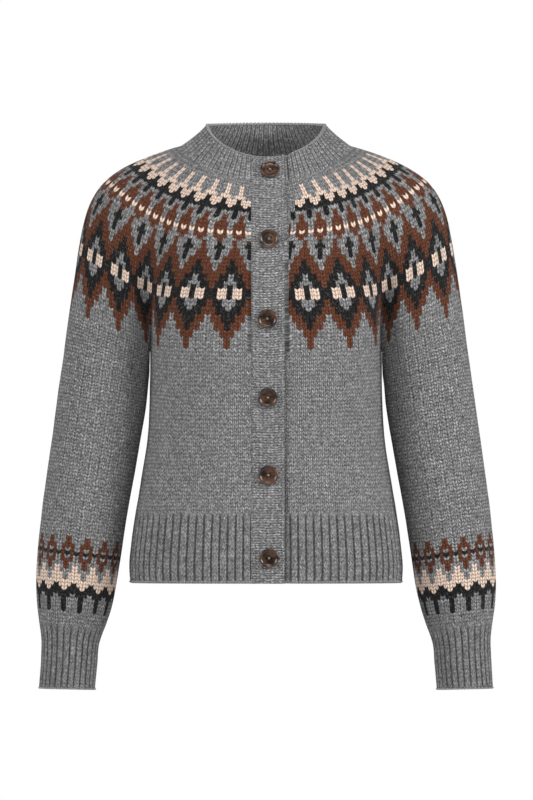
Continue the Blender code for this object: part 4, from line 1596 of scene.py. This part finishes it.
@dataclass
class Wardrobe:
    """The finishes and the shared geometry trees."""

    # Painted shade: edge_shade darkens the front, the hem and the neckband beside the buttonhole
    # band's free edge; on the yoke it paints light over the real shadow there instead.
    plain: WoolFinish = WoolFinish("heather_knit", Knit.PLAIN, edge_shade=0.5)
    yoke: WoolFinish = WoolFinish("yoke_colourwork", Knit.YOKE, edge_shade=-0.45)
    sleeve: WoolFinish = WoolFinish("sleeve_colourwork", Knit.SLEEVE, gap_shade=0.20)
    rib: WoolFinish = WoolFinish("heather_rib", Knit.RIB, gap_shade=0.58, groove_shade=0.52,
                                 grain=(5.0, 2.0), paired=True, wander=0.05, edge_shade=0.5)
    neck_rib: WoolFinish = WoolFinish("neck_rib", Knit.RIB, rib_width=0.84, gap_shade=0.46,
                                      groove_shade=0.22, grain=(3.4, 2.0), wander=0.10, edge_shade=0.5)
    band_rib: WoolFinish = WoolFinish("band_rib", Knit.RIB, rib_width=0.96, gap_shade=0.42,
                                      groove_shade=0.06, grain=(3.4, 1.3))
    cast_off: ThreadFinish = ThreadFinish("cast_off_wool", (0.30, 0.30, 0.305, 1.0), 700.0)
    relief: KnitRelief = field(default_factory=KnitRelief)
    edge: CastOffEdge = field(default_factory=CastOffEdge)
    made: dict = field(default_factory=dict)

    def pair(self, finish: WoolFinish) -> tuple[bpy.types.Material, bpy.types.Material]:
        """The right and the wrong side of a finish."""
        if finish.name not in self.made:
            self.made[finish.name] = (finish.material(), finish.material(inside=True))
        return self.made[finish.name]


@dataclass(frozen=True)
class Cut:
    """The flat size that a piece is knitted to: its width, its length and its area."""

    width: float
    length: float
    area: float


CUTS = {
    "yoke": Cut(1.281, 0.259, 0.2390),
    "front": Cut(0.206, 0.197, 0.0380),
    "back": Cut(0.440, 0.197, 0.0813),
    "sleeve": Cut(0.336, 0.355, 0.1140),
    "neckband": Cut(0.563, 0.041, 0.0192),
    "hem_front": Cut(0.212, 0.084, 0.01763),
    "hem_back": Cut(0.455, 0.084, 0.03784),
    "cuff": Cut(0.250, 0.077, 0.0171),
    "band": Cut(0.526, 0.041, 0.0210),
}


@dataclass
class Piece:
    """A knitted piece, its finish, its ribs and what the frame needs to know about it."""

    wall: KnitWall
    slot: Slot
    finish: WoolFinish
    cut: Cut
    rests_on: tuple[str, ...]
    rib_depth: float = 0.0
    groove: float = 0.15

    def make(self, wardrobe: Wardrobe) -> None:
        """Args:
            wardrobe: the finishes and the shared geometry trees.
        """
        piece = linked(self.wall.name, self.wall.mesh())
        wardrobe.relief.press(piece, wardrobe.pair(self.finish), self.rib_depth, self.groove)
        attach(piece, BODY)
        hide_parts(self.wall.node)
        LOG.info("%s: %d faces", piece.name, len(piece.data.polygons))


LEFT_LEAN = ((0.0, -0.10), (0.03, -0.12), (0.13, -0.32), (0.30, -0.27), (0.42, -0.08), (0.50, 0.0))
RIGHT_LEAN = ((0.0, 0.34), (0.03, 0.32), (0.13, 0.20), (0.30, -0.07), (0.42, 0.03), (0.50, 0.0))


@dataclass
class HalfGarment:
    """The fine grids of one side of the garment, made as the wearer's left.

    pattern_lean says how many repeats the pattern leans from the front edge, by the share of the
    yoke's length. It does so in full up to the repeat lean_full, and fades out at lean_end.
    """

    edge: float
    pattern_start: float
    pattern_lean: tuple[Pair, ...]
    lean_full: float = 2.0
    lean_end: float = 5.2
    pattern_repeats: float = 13.0
    columns: Columns = Columns(44, 3, 64, 48)
    yoke_rows: int = 64
    neckband_rows: int = 14
    body_rows: int = 52
    hem_rows: int = 18
    sleeve_rows: int = 96
    cuff_rows: int = 20
    neck_ribs: int = 35
    neck_stitch_rows: float = 9.0
    front_ribs: float = 20.0
    back_ribs: float = 21.5
    hem_crowding: float = 0.13
    front_stitches: float = 38.0
    back_stitches: float = 41.0
    sleeve_stitches: int = 56
    sleeve_end_row: float = 24.6
    sleeve_row_height: float = 0.00434
    rib_steps: int = 10
    grids: dict = field(default_factory=dict)
    stitches: dict = field(default_factory=dict)

    def build(self) -> None:
        """Works out every grid of this side, and the stitches at its points."""
        yoke, shares, along = FORM.yoke_half(self.edge, self.columns, self.yoke_rows)
        self.keep("yoke", yoke, self.yoke_stitches(along, len(yoke)))
        self.build_neckband(shares)
        self.build_body()
        self.build_hem()
        self.build_sleeve()
        self.build_cuff()

    def keep(self, name: str, grid: Array, stitches: Array) -> None:
        """Keeps a stretch's points and the stitches at them."""
        self.grids[name], self.stitches[name] = grid, stitches

    def keep_even(self, name: str, grid: Array, across: Array, down: Array) -> None:
        """Keeps a stretch whose columns and rows are each one line of stitches."""
        self.keep(name, grid, np.stack(np.meshgrid(across, down), axis=-1))

    def yoke_stitches(self, along: Array, rows: int) -> Array:
        """The pattern repeat and the row at each point of the yoke.

        Args:
            along: how far round from the middle of the front each column is.
            rows: how many rows of points there are.

        Returns:
            The repeat, counted from the first cross by the band, and the row.
        """
        reach = along[-1] - self.pattern_start
        repeat = (along - self.pattern_start) / reach * self.pattern_repeats
        shares = np.linspace(0.0, 1.0, rows)
        stations = np.array([r.shares for r in YOKE_ROUNDS])
        keys = [r.row for r in YOKE_ROUNDS]
        row = np.empty((rows, len(along)))
        for column, turn in enumerate(repeat):
            places = [np.interp(turn, ROUND_STATIONS, station) for station in stations]
            row[:, column] = np.interp(shares, places, keys)
        counted = np.interp(repeat, *zip(*REPEAT_COUNTS))
        near_edge = np.clip((self.lean_end - repeat) / (self.lean_end - self.lean_full), 0.0, 1.0)
        counted = counted + np.interp(shares, *zip(*self.pattern_lean))[:, None] * near_edge
        return np.stack((counted, row), axis=-1)

    def build_neckband(self, shares: Array) -> None:
        """The neckband, cut several times to a rib.

        Args:
            shares: the neck shares at which the yoke's columns start.
        """
        steps = self.neck_ribs * self.rib_steps
        even = np.linspace(0.0, 1.0, steps + 1)
        wanted = np.interp(even, np.linspace(0.0, 1.0, len(shares)), shares)
        self.keep_even("neckband", FORM.neckband_half(self.edge, wanted, self.neckband_rows),
                       np.linspace(0.0, self.neck_ribs, steps + 1),
                       np.linspace(-self.neck_stitch_rows, 0.0, self.neckband_rows + 1))

    def build_body(self) -> None:
        """The front and the back between the yoke and the hem rib."""
        shares = np.linspace(0.0, 1.0, self.body_rows + 1)
        front = FORM.yoke_drop + (FORM.rib_drop - FORM.yoke_drop) * shares
        side = FORM.underarm_drop + (FORM.rib_drop - FORM.underarm_drop) * shares
        body = [FORM.body_row(*drops, self.edge, self.columns) for drops in zip(front, side)]
        self.grids["body_top"] = body[0]
        rows = YOKE_END_ROW + (front - FORM.yoke_drop) / ROW_HEIGHT
        for name, part, count in (("front", slice(0, 2), self.front_stitches),
                                  ("back", slice(2, 4), self.back_stitches)):
            grid = np.stack([strung(*row[part]) for row in body])
            self.keep_even(name, grid, shares_of(grid[-1]) * count, rows)

    def build_hem(self) -> None:
        """The hem's front and back, cut several times to a rib."""
        drops = np.linspace(FORM.rib_drop, FORM.hem_drop, self.hem_rows + 1)
        coarse = [FORM.body_row(drop, drop, self.edge, self.columns) for drop in drops]
        rows = (drops - FORM.rib_drop) / ROW_HEIGHT
        for name, part, ribs, crowding in (
            ("hem_front", slice(0, 2), self.front_ribs, self.hem_crowding),
            ("hem_back", slice(2, 4), self.back_ribs, 0.0),
        ):
            even = np.linspace(0.0, 1.0, int(ribs * self.rib_steps) + 1)
            wanted = even - crowding * even * (1.0 - even)
            grid = np.stack([spaced(strung(*row[part]), wanted) for row in coarse])
            self.keep_even(name, grid, even * ribs, rows)

    def build_sleeve(self) -> None:
        """The sleeve, as rings that close on themselves."""
        drops = np.linspace(FORM.sleeve_drop, FORM.cuff_drop, self.sleeve_rows + 1)
        tops = [self.grids["body_top"]] + [None] * self.sleeve_rows
        grid = np.stack([strung(*FORM.sleeve_row(drop, self.columns, top))
                         for drop, top in zip(drops, tops)])
        middle = (self.columns.underarm * 2 + self.columns.sleeve) // 2
        down = travelled(grid[:, middle])
        rows = self.sleeve_end_row - (down[-1] - down) / self.sleeve_row_height
        count = np.stack([shares_of(row) for row in grid]) * self.sleeve_stitches
        self.keep("sleeve", grid, np.stack((count, np.broadcast_to(rows[:, None], count.shape)), -1))

    def build_cuff(self) -> None:
        """The cuff, as rings that close on themselves."""
        drops = np.linspace(FORM.cuff_drop, FORM.cuff_end_drop, self.cuff_rows + 1)
        ribs = self.sleeve_stitches // 2
        wanted = np.linspace(0.0, 1.0, ribs * self.rib_steps + 1)
        rings = [strung(*FORM.sleeve_row(drop, self.columns)) for drop in drops]
        grid = np.stack([spaced(ring, wanted) for ring in rings])
        self.keep_even("cuff", grid, wanted * ribs, (drops - FORM.cuff_drop) / ROW_HEIGHT)

    def dip_under_band(self) -> None:
        """Sinks the front edge by one layer where it runs under the buttonhole band."""
        for name in ("neckband", "yoke", "front", "hem_front"):
            grid = self.grids[name]
            ease = smooth((FORM.dip_start - grid[..., 0]) / (FORM.dip_start - FORM.dip_end))
            ease = np.where(grid[..., 1] < 0.0, ease, 0.0)
            depth = (FORM.wall + FORM.layer_gap) * ease
            self.grids[name] = grid - outward(grid) * depth[..., None]

    def mirror(self) -> None:
        """Turns this side into the wearer's right, its stitches counted on from the left's."""
        totals = {
            "yoke": YOKE_REPEATS, "neckband": 2.0 * self.neck_ribs,
            "front": 2.0 * self.front_stitches, "back": 2.0 * self.back_stitches,
            "hem_front": 2.0 * self.front_ribs, "hem_back": 2.0 * self.back_ribs,
            "sleeve": self.sleeve_stitches + 1.0, "cuff": self.sleeve_stitches / 2.0,
        }
        for name, total in totals.items():
            stitches = self.stitches[name][:, ::-1]
            turned = np.stack((total - stitches[..., 0], stitches[..., 1]), axis=-1)
            self.keep(name, self.grids[name][:, ::-1] * MIRROR, turned)


@dataclass
class Knitting:
    """Every knitted piece of the garment.

    A cast-off chain lies past its lip by its "past": on the neck, the hem or a cuff.
    """

    wardrobe: Wardrobe = field(default_factory=Wardrobe)
    left: HalfGarment = field(
        default_factory=lambda: HalfGarment(FORM.left_seam, 0.0280, LEFT_LEAN))
    right: HalfGarment = field(
        default_factory=lambda: HalfGarment(FORM.right_seam, 0.0216, RIGHT_LEAN))
    band_columns: int = 12
    band_pitch: float = 0.0060
    band_rib_steps: int = 8
    edge_curl: float = 0.0008
    curl_columns: float = 3.0
    neck_past: float = -0.0003
    hem_past: float = -0.0018
    cuff_past: float = -0.0002

    def joined(self, name: str) -> tuple[Array, Array]:
        """A stretch of both sides as one, from the wearer's left round the back to the right."""
        left, right = self.left, self.right
        grid = np.hstack((left.grids[name], right.grids[name][:, 1:]))
        return grid, np.hstack((left.stitches[name], right.stitches[name][:, 1:]))

    def sides(self) -> tuple[tuple[str, HalfGarment], ...]:
        """Both sides with their names."""
        return ("left", self.left), ("right", self.right)

    def make_body(self) -> None:
        """The yoke, both fronts, the back and the sleeves."""
        wool = self.wardrobe
        grid, stitches = self.joined("yoke")
        Piece(KnitWall("yoke", creased(grid), stitches), Slot.YOKE, wool.yoke, CUTS["yoke"],
              ("neckband",)).make(wool)
        for side, half in self.sides():
            for name, finish, ring in (("front", wool.plain, False), ("sleeve", wool.sleeve, True)):
                grid, stitches = creased(half.grids[name], ring), half.stitches[name]
                Piece(KnitWall(f"{name}_{side}", grid, stitches, ring=ring), Slot.PLAIN, finish,
                      CUTS[name], ("knitted_yoke",)).make(wool)
        grid, stitches = self.joined("back")
        Piece(KnitWall("back", creased(grid), stitches), Slot.PLAIN, wool.plain, CUTS["back"],
              ("knitted_yoke",)).make(wool)

    def make_ribs(self) -> None:
        """The neckband, the hem and the cuffs."""
        wool = self.wardrobe
        wall = KnitWall("neckband", *self.joined("neckband"), lip_start=True, eases=(0.10, 0.25))
        Piece(wall, Slot.RIB, wool.neck_rib, CUTS["neckband"], ("wearer_neck",), 0.0007,
              0.18).make(wool)
        for side, half in self.sides():
            self.make_hem(f"hem_{side}", half.grids["hem_front"], half.stitches["hem_front"],
                          CUTS["hem_front"], f"knitted_front_{side}")
            wall = KnitWall(f"cuff_{side}", half.grids["cuff"], half.stitches["cuff"], ring=True,
                            lip_end=True, eases=(0.12, 0.06))
            Piece(wall, Slot.RIB, wool.rib, CUTS["cuff"], (f"knitted_sleeve_{side}",),
                  0.0014).make(wool)
        self.make_hem("hem_back", *self.joined("hem_back"), CUTS["hem_back"], "knitted_back")

    def make_hem(self, node: str, grid: Array, stitches: Array, cut: Cut, above: str) -> None:
        """One stretch of the ribbed hem, which hangs from the piece above it."""
        wall = KnitWall(node, grid, stitches, lip_end=True, eases=(0.08, 0.05))
        Piece(wall, Slot.RIB, self.wardrobe.rib, cut, (above,), 0.0016, 0.14).make(self.wardrobe)

    def make_bands(self) -> None:
        """The buttonhole band on top and the button band one layer below it."""
        for node, start, end, depth in (
            ("buttonhole_band", -FORM.right_seam, FORM.top_band_reach, 0.0),
            ("button_band", -FORM.under_band_reach, FORM.left_seam, FORM.wall + FORM.layer_gap),
        ):
            places = np.linspace(end, start, self.band_columns + 1)
            lines = [FORM.edge_line(float(place)) for place in places]
            ribs = round(travelled(lines[len(lines) // 2])[-1] / self.band_pitch)
            wanted = np.linspace(0.0, 1.0, ribs * self.band_rib_steps + 1)
            grid = np.stack([spaced(line, wanted) for line in lines])
            curl = self.edge_curl * smooth(1.0 - np.arange(len(grid)) / self.curl_columns)
            grid = grid + outward(grid) * (curl - depth)[:, None, None]
            stitches = np.stack(np.meshgrid(wanted * ribs, (end - places) / ROW_HEIGHT), axis=-1)
            wall = KnitWall(node, grid, stitches, lip_start=True, lip_end=True, eases=(0.20, 0.12))
            Piece(wall, Slot.RIB, self.wardrobe.band_rib, CUTS["band"],
                  ("knitted_front_left", "knitted_front_right"), 0.0002, 0.20).make(self.wardrobe)

    def make_edges(self) -> None:
        """The cast-off chains along the neck, the hem and the cuffs."""
        yarn = self.wardrobe.cast_off.material()
        edges = [("neck_cast_off", self.joined("neckband")[0], 0, False, self.neck_past),
                 ("hem_back_cast_off", self.joined("hem_back")[0], -1, False, self.hem_past)]
        for side, half in self.sides():
            edges += [(f"hem_{side}_cast_off", half.grids["hem_front"], -1, False, self.hem_past),
                      (f"cuff_{side}_cast_off", half.grids["cuff"], -1, True, self.cuff_past)]
        for name, grid, row, ring, past in edges:
            chain = self.wardrobe.edge.lay(name, lip_line(grid, row, ring, past), ring, yarn)
            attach(chain, BODY)
            LOG.info("%s: %d faces", name, len(chain.data.polygons))

    def make(self) -> None:
        """Builds everything that is knitted."""
        for _, half in self.sides():
            half.build()
        self.left.dip_under_band()
        self.right.mirror()
        self.make_body()
        self.make_ribs()
        self.make_bands()
        self.make_edges()


@dataclass(frozen=True)
class ButtonPlace:
    """The middle of a button's seat on the buttonhole band."""

    drop: float
    across: float


def arc(middle: Pair, radius: float, angles: Array) -> list[Pair]:
    """Points on a circle, at angles in degrees."""
    turns = np.radians(angles)
    return list(zip(middle[0] + radius * np.cos(turns), middle[1] + radius * np.sin(turns)))


@dataclass
class Buttons:
    """Six turned buttons with a raised rim, four holes and a cross of thread.

    Each point of the dish is given as how far in from the outer edge and below the rim it is.
    """

    radius: float = 0.0117
    height: float = 0.0040
    seat: float = 0.0003
    foot_inset: float = 0.0028
    foot_round: float = 0.0022
    rim_round: float = 0.0012
    dish: tuple[Pair, ...] = (
        (0.0031, 0.0017), (0.0042, 0.0020), (0.0065, 0.0019), (0.0117, 0.0017),
    )
    hole_radius: float = 0.00120
    hole_spread: float = 0.0021
    hole_sides: int = 16
    steps: int = 64
    sharp_angle: float = 40.0
    strand_radius: float = 0.00021
    strand_shift: float = 0.00018
    strand_reach: float = 0.72
    strand_depth: float = 0.0012
    strand_sink: float = 0.0022
    sink_start: float = 0.7
    strand_steps: int = 9
    strand_sides: int = 6
    turn_step: float = 37.0
    seed_step: float = 0.113
    places: tuple[ButtonPlace, ...] = (
        ButtonPlace(0.0300, 0.0048),
        ButtonPlace(0.1123, 0.0036),
        ButtonPlace(0.2076, 0.0017),
        ButtonPlace(0.3018, 0.0023),
        ButtonPlace(0.3948, 0.0028),
        ButtonPlace(0.4938, 0.0036),
    )
    thread: ThreadFinish = ThreadFinish("button_thread", (0.46, 0.41, 0.33, 1.0))

    def profile(self) -> list[Pair]:
        """The button's section.

        Returns:
            Its points, from the middle of the foot round the rim to the dished middle.
        """
        foot, rim = self.radius - self.foot_round, self.radius - self.rim_round
        return [
            (0.0, 0.0),
            (self.radius - self.foot_inset, 0.0),
            *arc((foot, self.foot_round), self.foot_round, np.linspace(-80.0, 0.0, 5)),
            *arc((rim, self.height - self.rim_round), self.rim_round, np.linspace(0.0, 180.0, 8)),
            *((self.radius - inset, self.height - depth) for inset, depth in self.dish),
        ]

    def drills(self) -> bpy.types.Object:
        """The four drills that cut the holes.

        Returns:
            One object with all four.
        """
        drills = bmesh.new()
        for across, along in ((1, 1), (-1, 1), (-1, -1), (1, -1)):
            middle = Vector((across, along, 0.6)) * self.hole_spread
            bmesh.ops.create_cone(drills, cap_ends=True, segments=self.hole_sides,
                                  radius1=self.hole_radius, radius2=self.hole_radius,
                                  depth=4.0 * self.height, matrix=Matrix.Translation(middle))
        mesh = bpy.data.meshes.new("button_drills")
        drills.to_mesh(mesh)
        drills.free()
        return linked("button_drills", mesh)

    def turned(self) -> bpy.types.Mesh:
        """One button, turned on a lathe and drilled.

        Returns:
            The button standing on the origin, its face up +Z.
        """
        mesh = bpy.data.meshes.new("button_profile")
        points = [(radius, 0.0, height) for radius, height in self.profile()]
        mesh.from_pydata(points, [(k, k + 1) for k in range(len(points) - 1)], [])
        lathe, drills = linked("button_lathe", mesh), self.drills()
        screw = lathe.modifiers.new("Turn", "SCREW")
        screw.steps = screw.render_steps = self.steps
        screw.use_merge_vertices = True
        screw.merge_threshold = NEAR_MIDDLE
        screw.use_normal_calculate = True
        cut = lathe.modifiers.new("Holes", "BOOLEAN")
        cut.operation, cut.solver, cut.object = "DIFFERENCE", "EXACT", drills
        bpy.context.view_layer.update()
        depsgraph = bpy.context.evaluated_depsgraph_get()
        result = bpy.data.meshes.new_from_object(lathe.evaluated_get(depsgraph), depsgraph=depsgraph)
        bpy.data.objects.remove(lathe)
        bpy.data.objects.remove(drills)
        result.shade_smooth()
        result.set_sharp_from_angle(angle=math.radians(self.sharp_angle))
        return result

    def cross(self) -> bpy.types.Mesh:
        """The crossed thread between the holes of one button.

        Returns:
            The thread of a button that stands on the origin.
        """
        strands = bmesh.new()
        reach = self.hole_spread * self.strand_reach
        for along in ((1.0, 1.0), (-1.0, 1.0)):
            for shift in (-self.strand_shift, self.strand_shift):
                self.add_strand(strands, np.array(along) * reach, shift)
        mesh = bpy.data.meshes.new("thread")
        strands.to_mesh(mesh)
        strands.free()
        mesh.shade_smooth()
        return mesh

    def add_strand(self, strands: bmesh.types.BMesh, end: Array, shift: float) -> None:
        """One bowed strand from a hole to the opposite one, sunk into both.

        Args:
            strands: the mesh that it is added to.
            end: where it goes into the hole.
            shift: how far beside the line between the holes it lies.
        """
        heading = Vector((*end, 0.0)).normalized()
        sideways, up = Vector((-heading.y, heading.x, 0.0)), Vector((0.0, 0.0, 1.0))
        turns = np.linspace(0.0, 2.0 * math.pi, self.strand_sides + 1)[:-1]
        hoop = [(sideways * math.cos(turn) + up * math.sin(turn)) * self.strand_radius
                for turn in turns]
        level = self.height - self.strand_depth
        rings = []
        for place in np.linspace(-1.0, 1.0, self.strand_steps):
            sunk = max(0.0, abs(place) - self.sink_start) / (1.0 - self.sink_start)
            middle = Vector((*(end * place), level - self.strand_sink * sunk))
            middle += sideways * shift * (1.0 - abs(place))
            rings.append([strands.verts.new(middle + spoke) for spoke in hoop])
        for before, after in zip(rings, rings[1:]):
            for k, (low, high) in enumerate(zip(before, after)):
                strands.faces.new((low, before[k - 1], after[k - 1], high))
        strands.faces.new(rings[0][::-1])
        strands.faces.new(rings[-1])
        bmesh.ops.recalc_face_normals(strands, faces=strands.faces[:])

    def seat_of(self, place: ButtonPlace) -> Matrix:
        """Where a button goes: on the band, square to its surface.

        Args:
            place: the middle of its seat.

        Returns:
            How a button that stands on the origin is moved there.
        """
        line = FORM.edge_line(place.across)
        below = int(np.argmax(line[:, 2] < -place.drop))
        upper, lower = Vector(line[below - 1]), Vector(line[below])
        share = (upper.z + place.drop) / (upper.z - lower.z)
        along = (lower - upper).normalized()
        outside = Vector((0.0, along.z, -along.y))
        middle = upper.lerp(lower, share) + outside * self.seat
        lean = math.atan2(-outside.y, outside.z)
        return Matrix.Translation(middle) @ Euler((lean, 0.0, 0.0)).to_matrix().to_4x4()

    def placed(self, name: str, source: bpy.types.Mesh, place: Matrix,
               material: bpy.types.Material) -> bpy.types.Object:
        """A copy of a shared mesh in its place.

        Args:
            name: the piece's name.
            source: the shared mesh.
            place: how it is moved.
            material: its material.

        Returns:
            The piece.
        """
        mesh = source.copy()
        mesh.transform(place)
        mesh.materials.clear()
        mesh.materials.append(material)
        piece = linked(name, mesh)
        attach(piece, BODY)
        return piece

    def make(self) -> None:
        """Builds the buttons and their thread."""
        button, cross, thread = self.turned(), self.cross(), self.thread.material()
        for number, place in enumerate(self.places, start=1):
            turn = Matrix.Rotation(math.radians(self.turn_step * number), 4, "Z")
            seat = self.seat_of(place) @ turn
            horn = HornFinish(f"horn_{number}", seed=self.seed_step * number).material()
            piece = self.placed(f"horn_button_{number}", button, seat, horn)
            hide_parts(f"button_{number}")
            self.placed(f"button_thread_{number}", cross, seat, thread)
            LOG.info("horn_button_%d and its thread at drop %.4f", number, place.drop)


# --- The studio -------------------------------------------


@dataclass(frozen=True)
class Softbox:
    """A square lamp that looks at the middle of the garment."""

    name: str
    place: tuple[float, float, float]
    size: float
    power: float


@dataclass
class Studio:
    """A pale floor, a white surround, softboxes and the camera."""

    metres_per_pixel: float = 0.0012
    frame_height: float = 800.0
    middle_pixel: Pair = (266.0, 400.0)
    frame_middle: float = 266.5
    neck_pixel: float = 146.0
    distance: float = 28.0
    sensor: float = 36.0
    clip: Pair = (0.1, 100.0)
    look_at: tuple[float, float, float] = (0.0, 0.0, -0.30)
    floor_drop: float = 1.35
    floor_radius: float = 7.0
    floor_sides: int = 128
    floor_grey: float = 0.74
    surround: float = 0.06
    lamps: tuple[Softbox, ...] = (
        Softbox("key", (3.0, -1.7, 0.9), 1.4, 106.0),
        Softbox("fill", (-2.9, -1.8, 0.9), 1.5, 75.0),
        Softbox("front", (0.2, -2.8, 2.3), 1.6, 70.0),
        Softbox("back", (-0.6, 3.2, 1.8), 2.2, 95.0),
    )

    def stand(self, name: str, data: bpy.types.ID, place: Sequence[float],
              turn: Euler) -> bpy.types.Object:
        """Puts a lamp or the camera in its place and turns it."""
        stand = bpy.data.objects.new(name, data)
        stand.location, stand.rotation_euler = place, turn
        bpy.context.scene.collection.objects.link(stand)
        return stand

    def make_camera(self) -> None:
        """A long lens at the photograph's angle: level, and square to the front."""
        camera = bpy.data.cameras.new("camera")
        camera.sensor_width = self.sensor
        camera.lens = self.sensor * self.distance / (self.frame_height * self.metres_per_pixel)
        camera.clip_start, camera.clip_end = self.clip
        across = (self.frame_middle - self.middle_pixel[0]) * self.metres_per_pixel
        height = (self.neck_pixel - self.middle_pixel[1]) * self.metres_per_pixel
        bpy.context.scene.camera = self.stand("camera", camera, (across, -self.distance, height),
                                              Euler((math.radians(90.0), 0.0, 0.0)))

    def make_lights(self) -> None:
        """Softboxes and a white surround."""
        for lamp in self.lamps:
            light = bpy.data.lights.new(lamp.name, "AREA")
            light.size, light.energy = lamp.size, lamp.power
            heading = Vector(self.look_at) - Vector(lamp.place)
            self.stand(lamp.name, light, lamp.place, heading.to_track_quat("-Z", "Y").to_euler())
        world = bpy.data.worlds.new("surround")
        world.use_nodes = True
        bench = Bench(world.node_tree)
        ray = bench.wire("ShaderNodeLightPath", None, None, "Is Camera Ray")
        bench.feed(world.node_tree.nodes["Background"], {
            "Color": (1.0, 1.0, 1.0, 1.0), "Strength": bench.blend(ray, self.surround, 1.0)})
        bpy.context.scene.world = world
        bpy.context.scene.view_settings.view_transform = "Standard"

    def make_floor(self) -> None:
        """A round pale floor below the garment."""
        disc = bmesh.new()
        bmesh.ops.create_circle(disc, cap_ends=True, segments=self.floor_sides,
                                radius=self.floor_radius,
                                matrix=Matrix.Translation((0.0, 0.0, -self.floor_drop)))
        mesh = bpy.data.meshes.new("floor")
        disc.to_mesh(mesh)
        disc.free()
        paint = ThreadFinish("floor_paint", (*(self.floor_grey,) * 3, 1.0), 0.0)
        mesh.materials.append(paint.material())
        linked("floor", mesh)

    def make(self) -> None:
        """Sets up the whole studio."""
        self.make_camera()
        self.make_lights()
        self.make_floor()


def main() -> None:
    """Builds the garment round its frame, with its buttons and the studio."""
    logging.basicConfig(level=logging.INFO, format="%(name)s %(message)s")
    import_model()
    Knitting().make()
    Buttons().make()
    Studio().make()


if __name__ == "__main__":
    main()
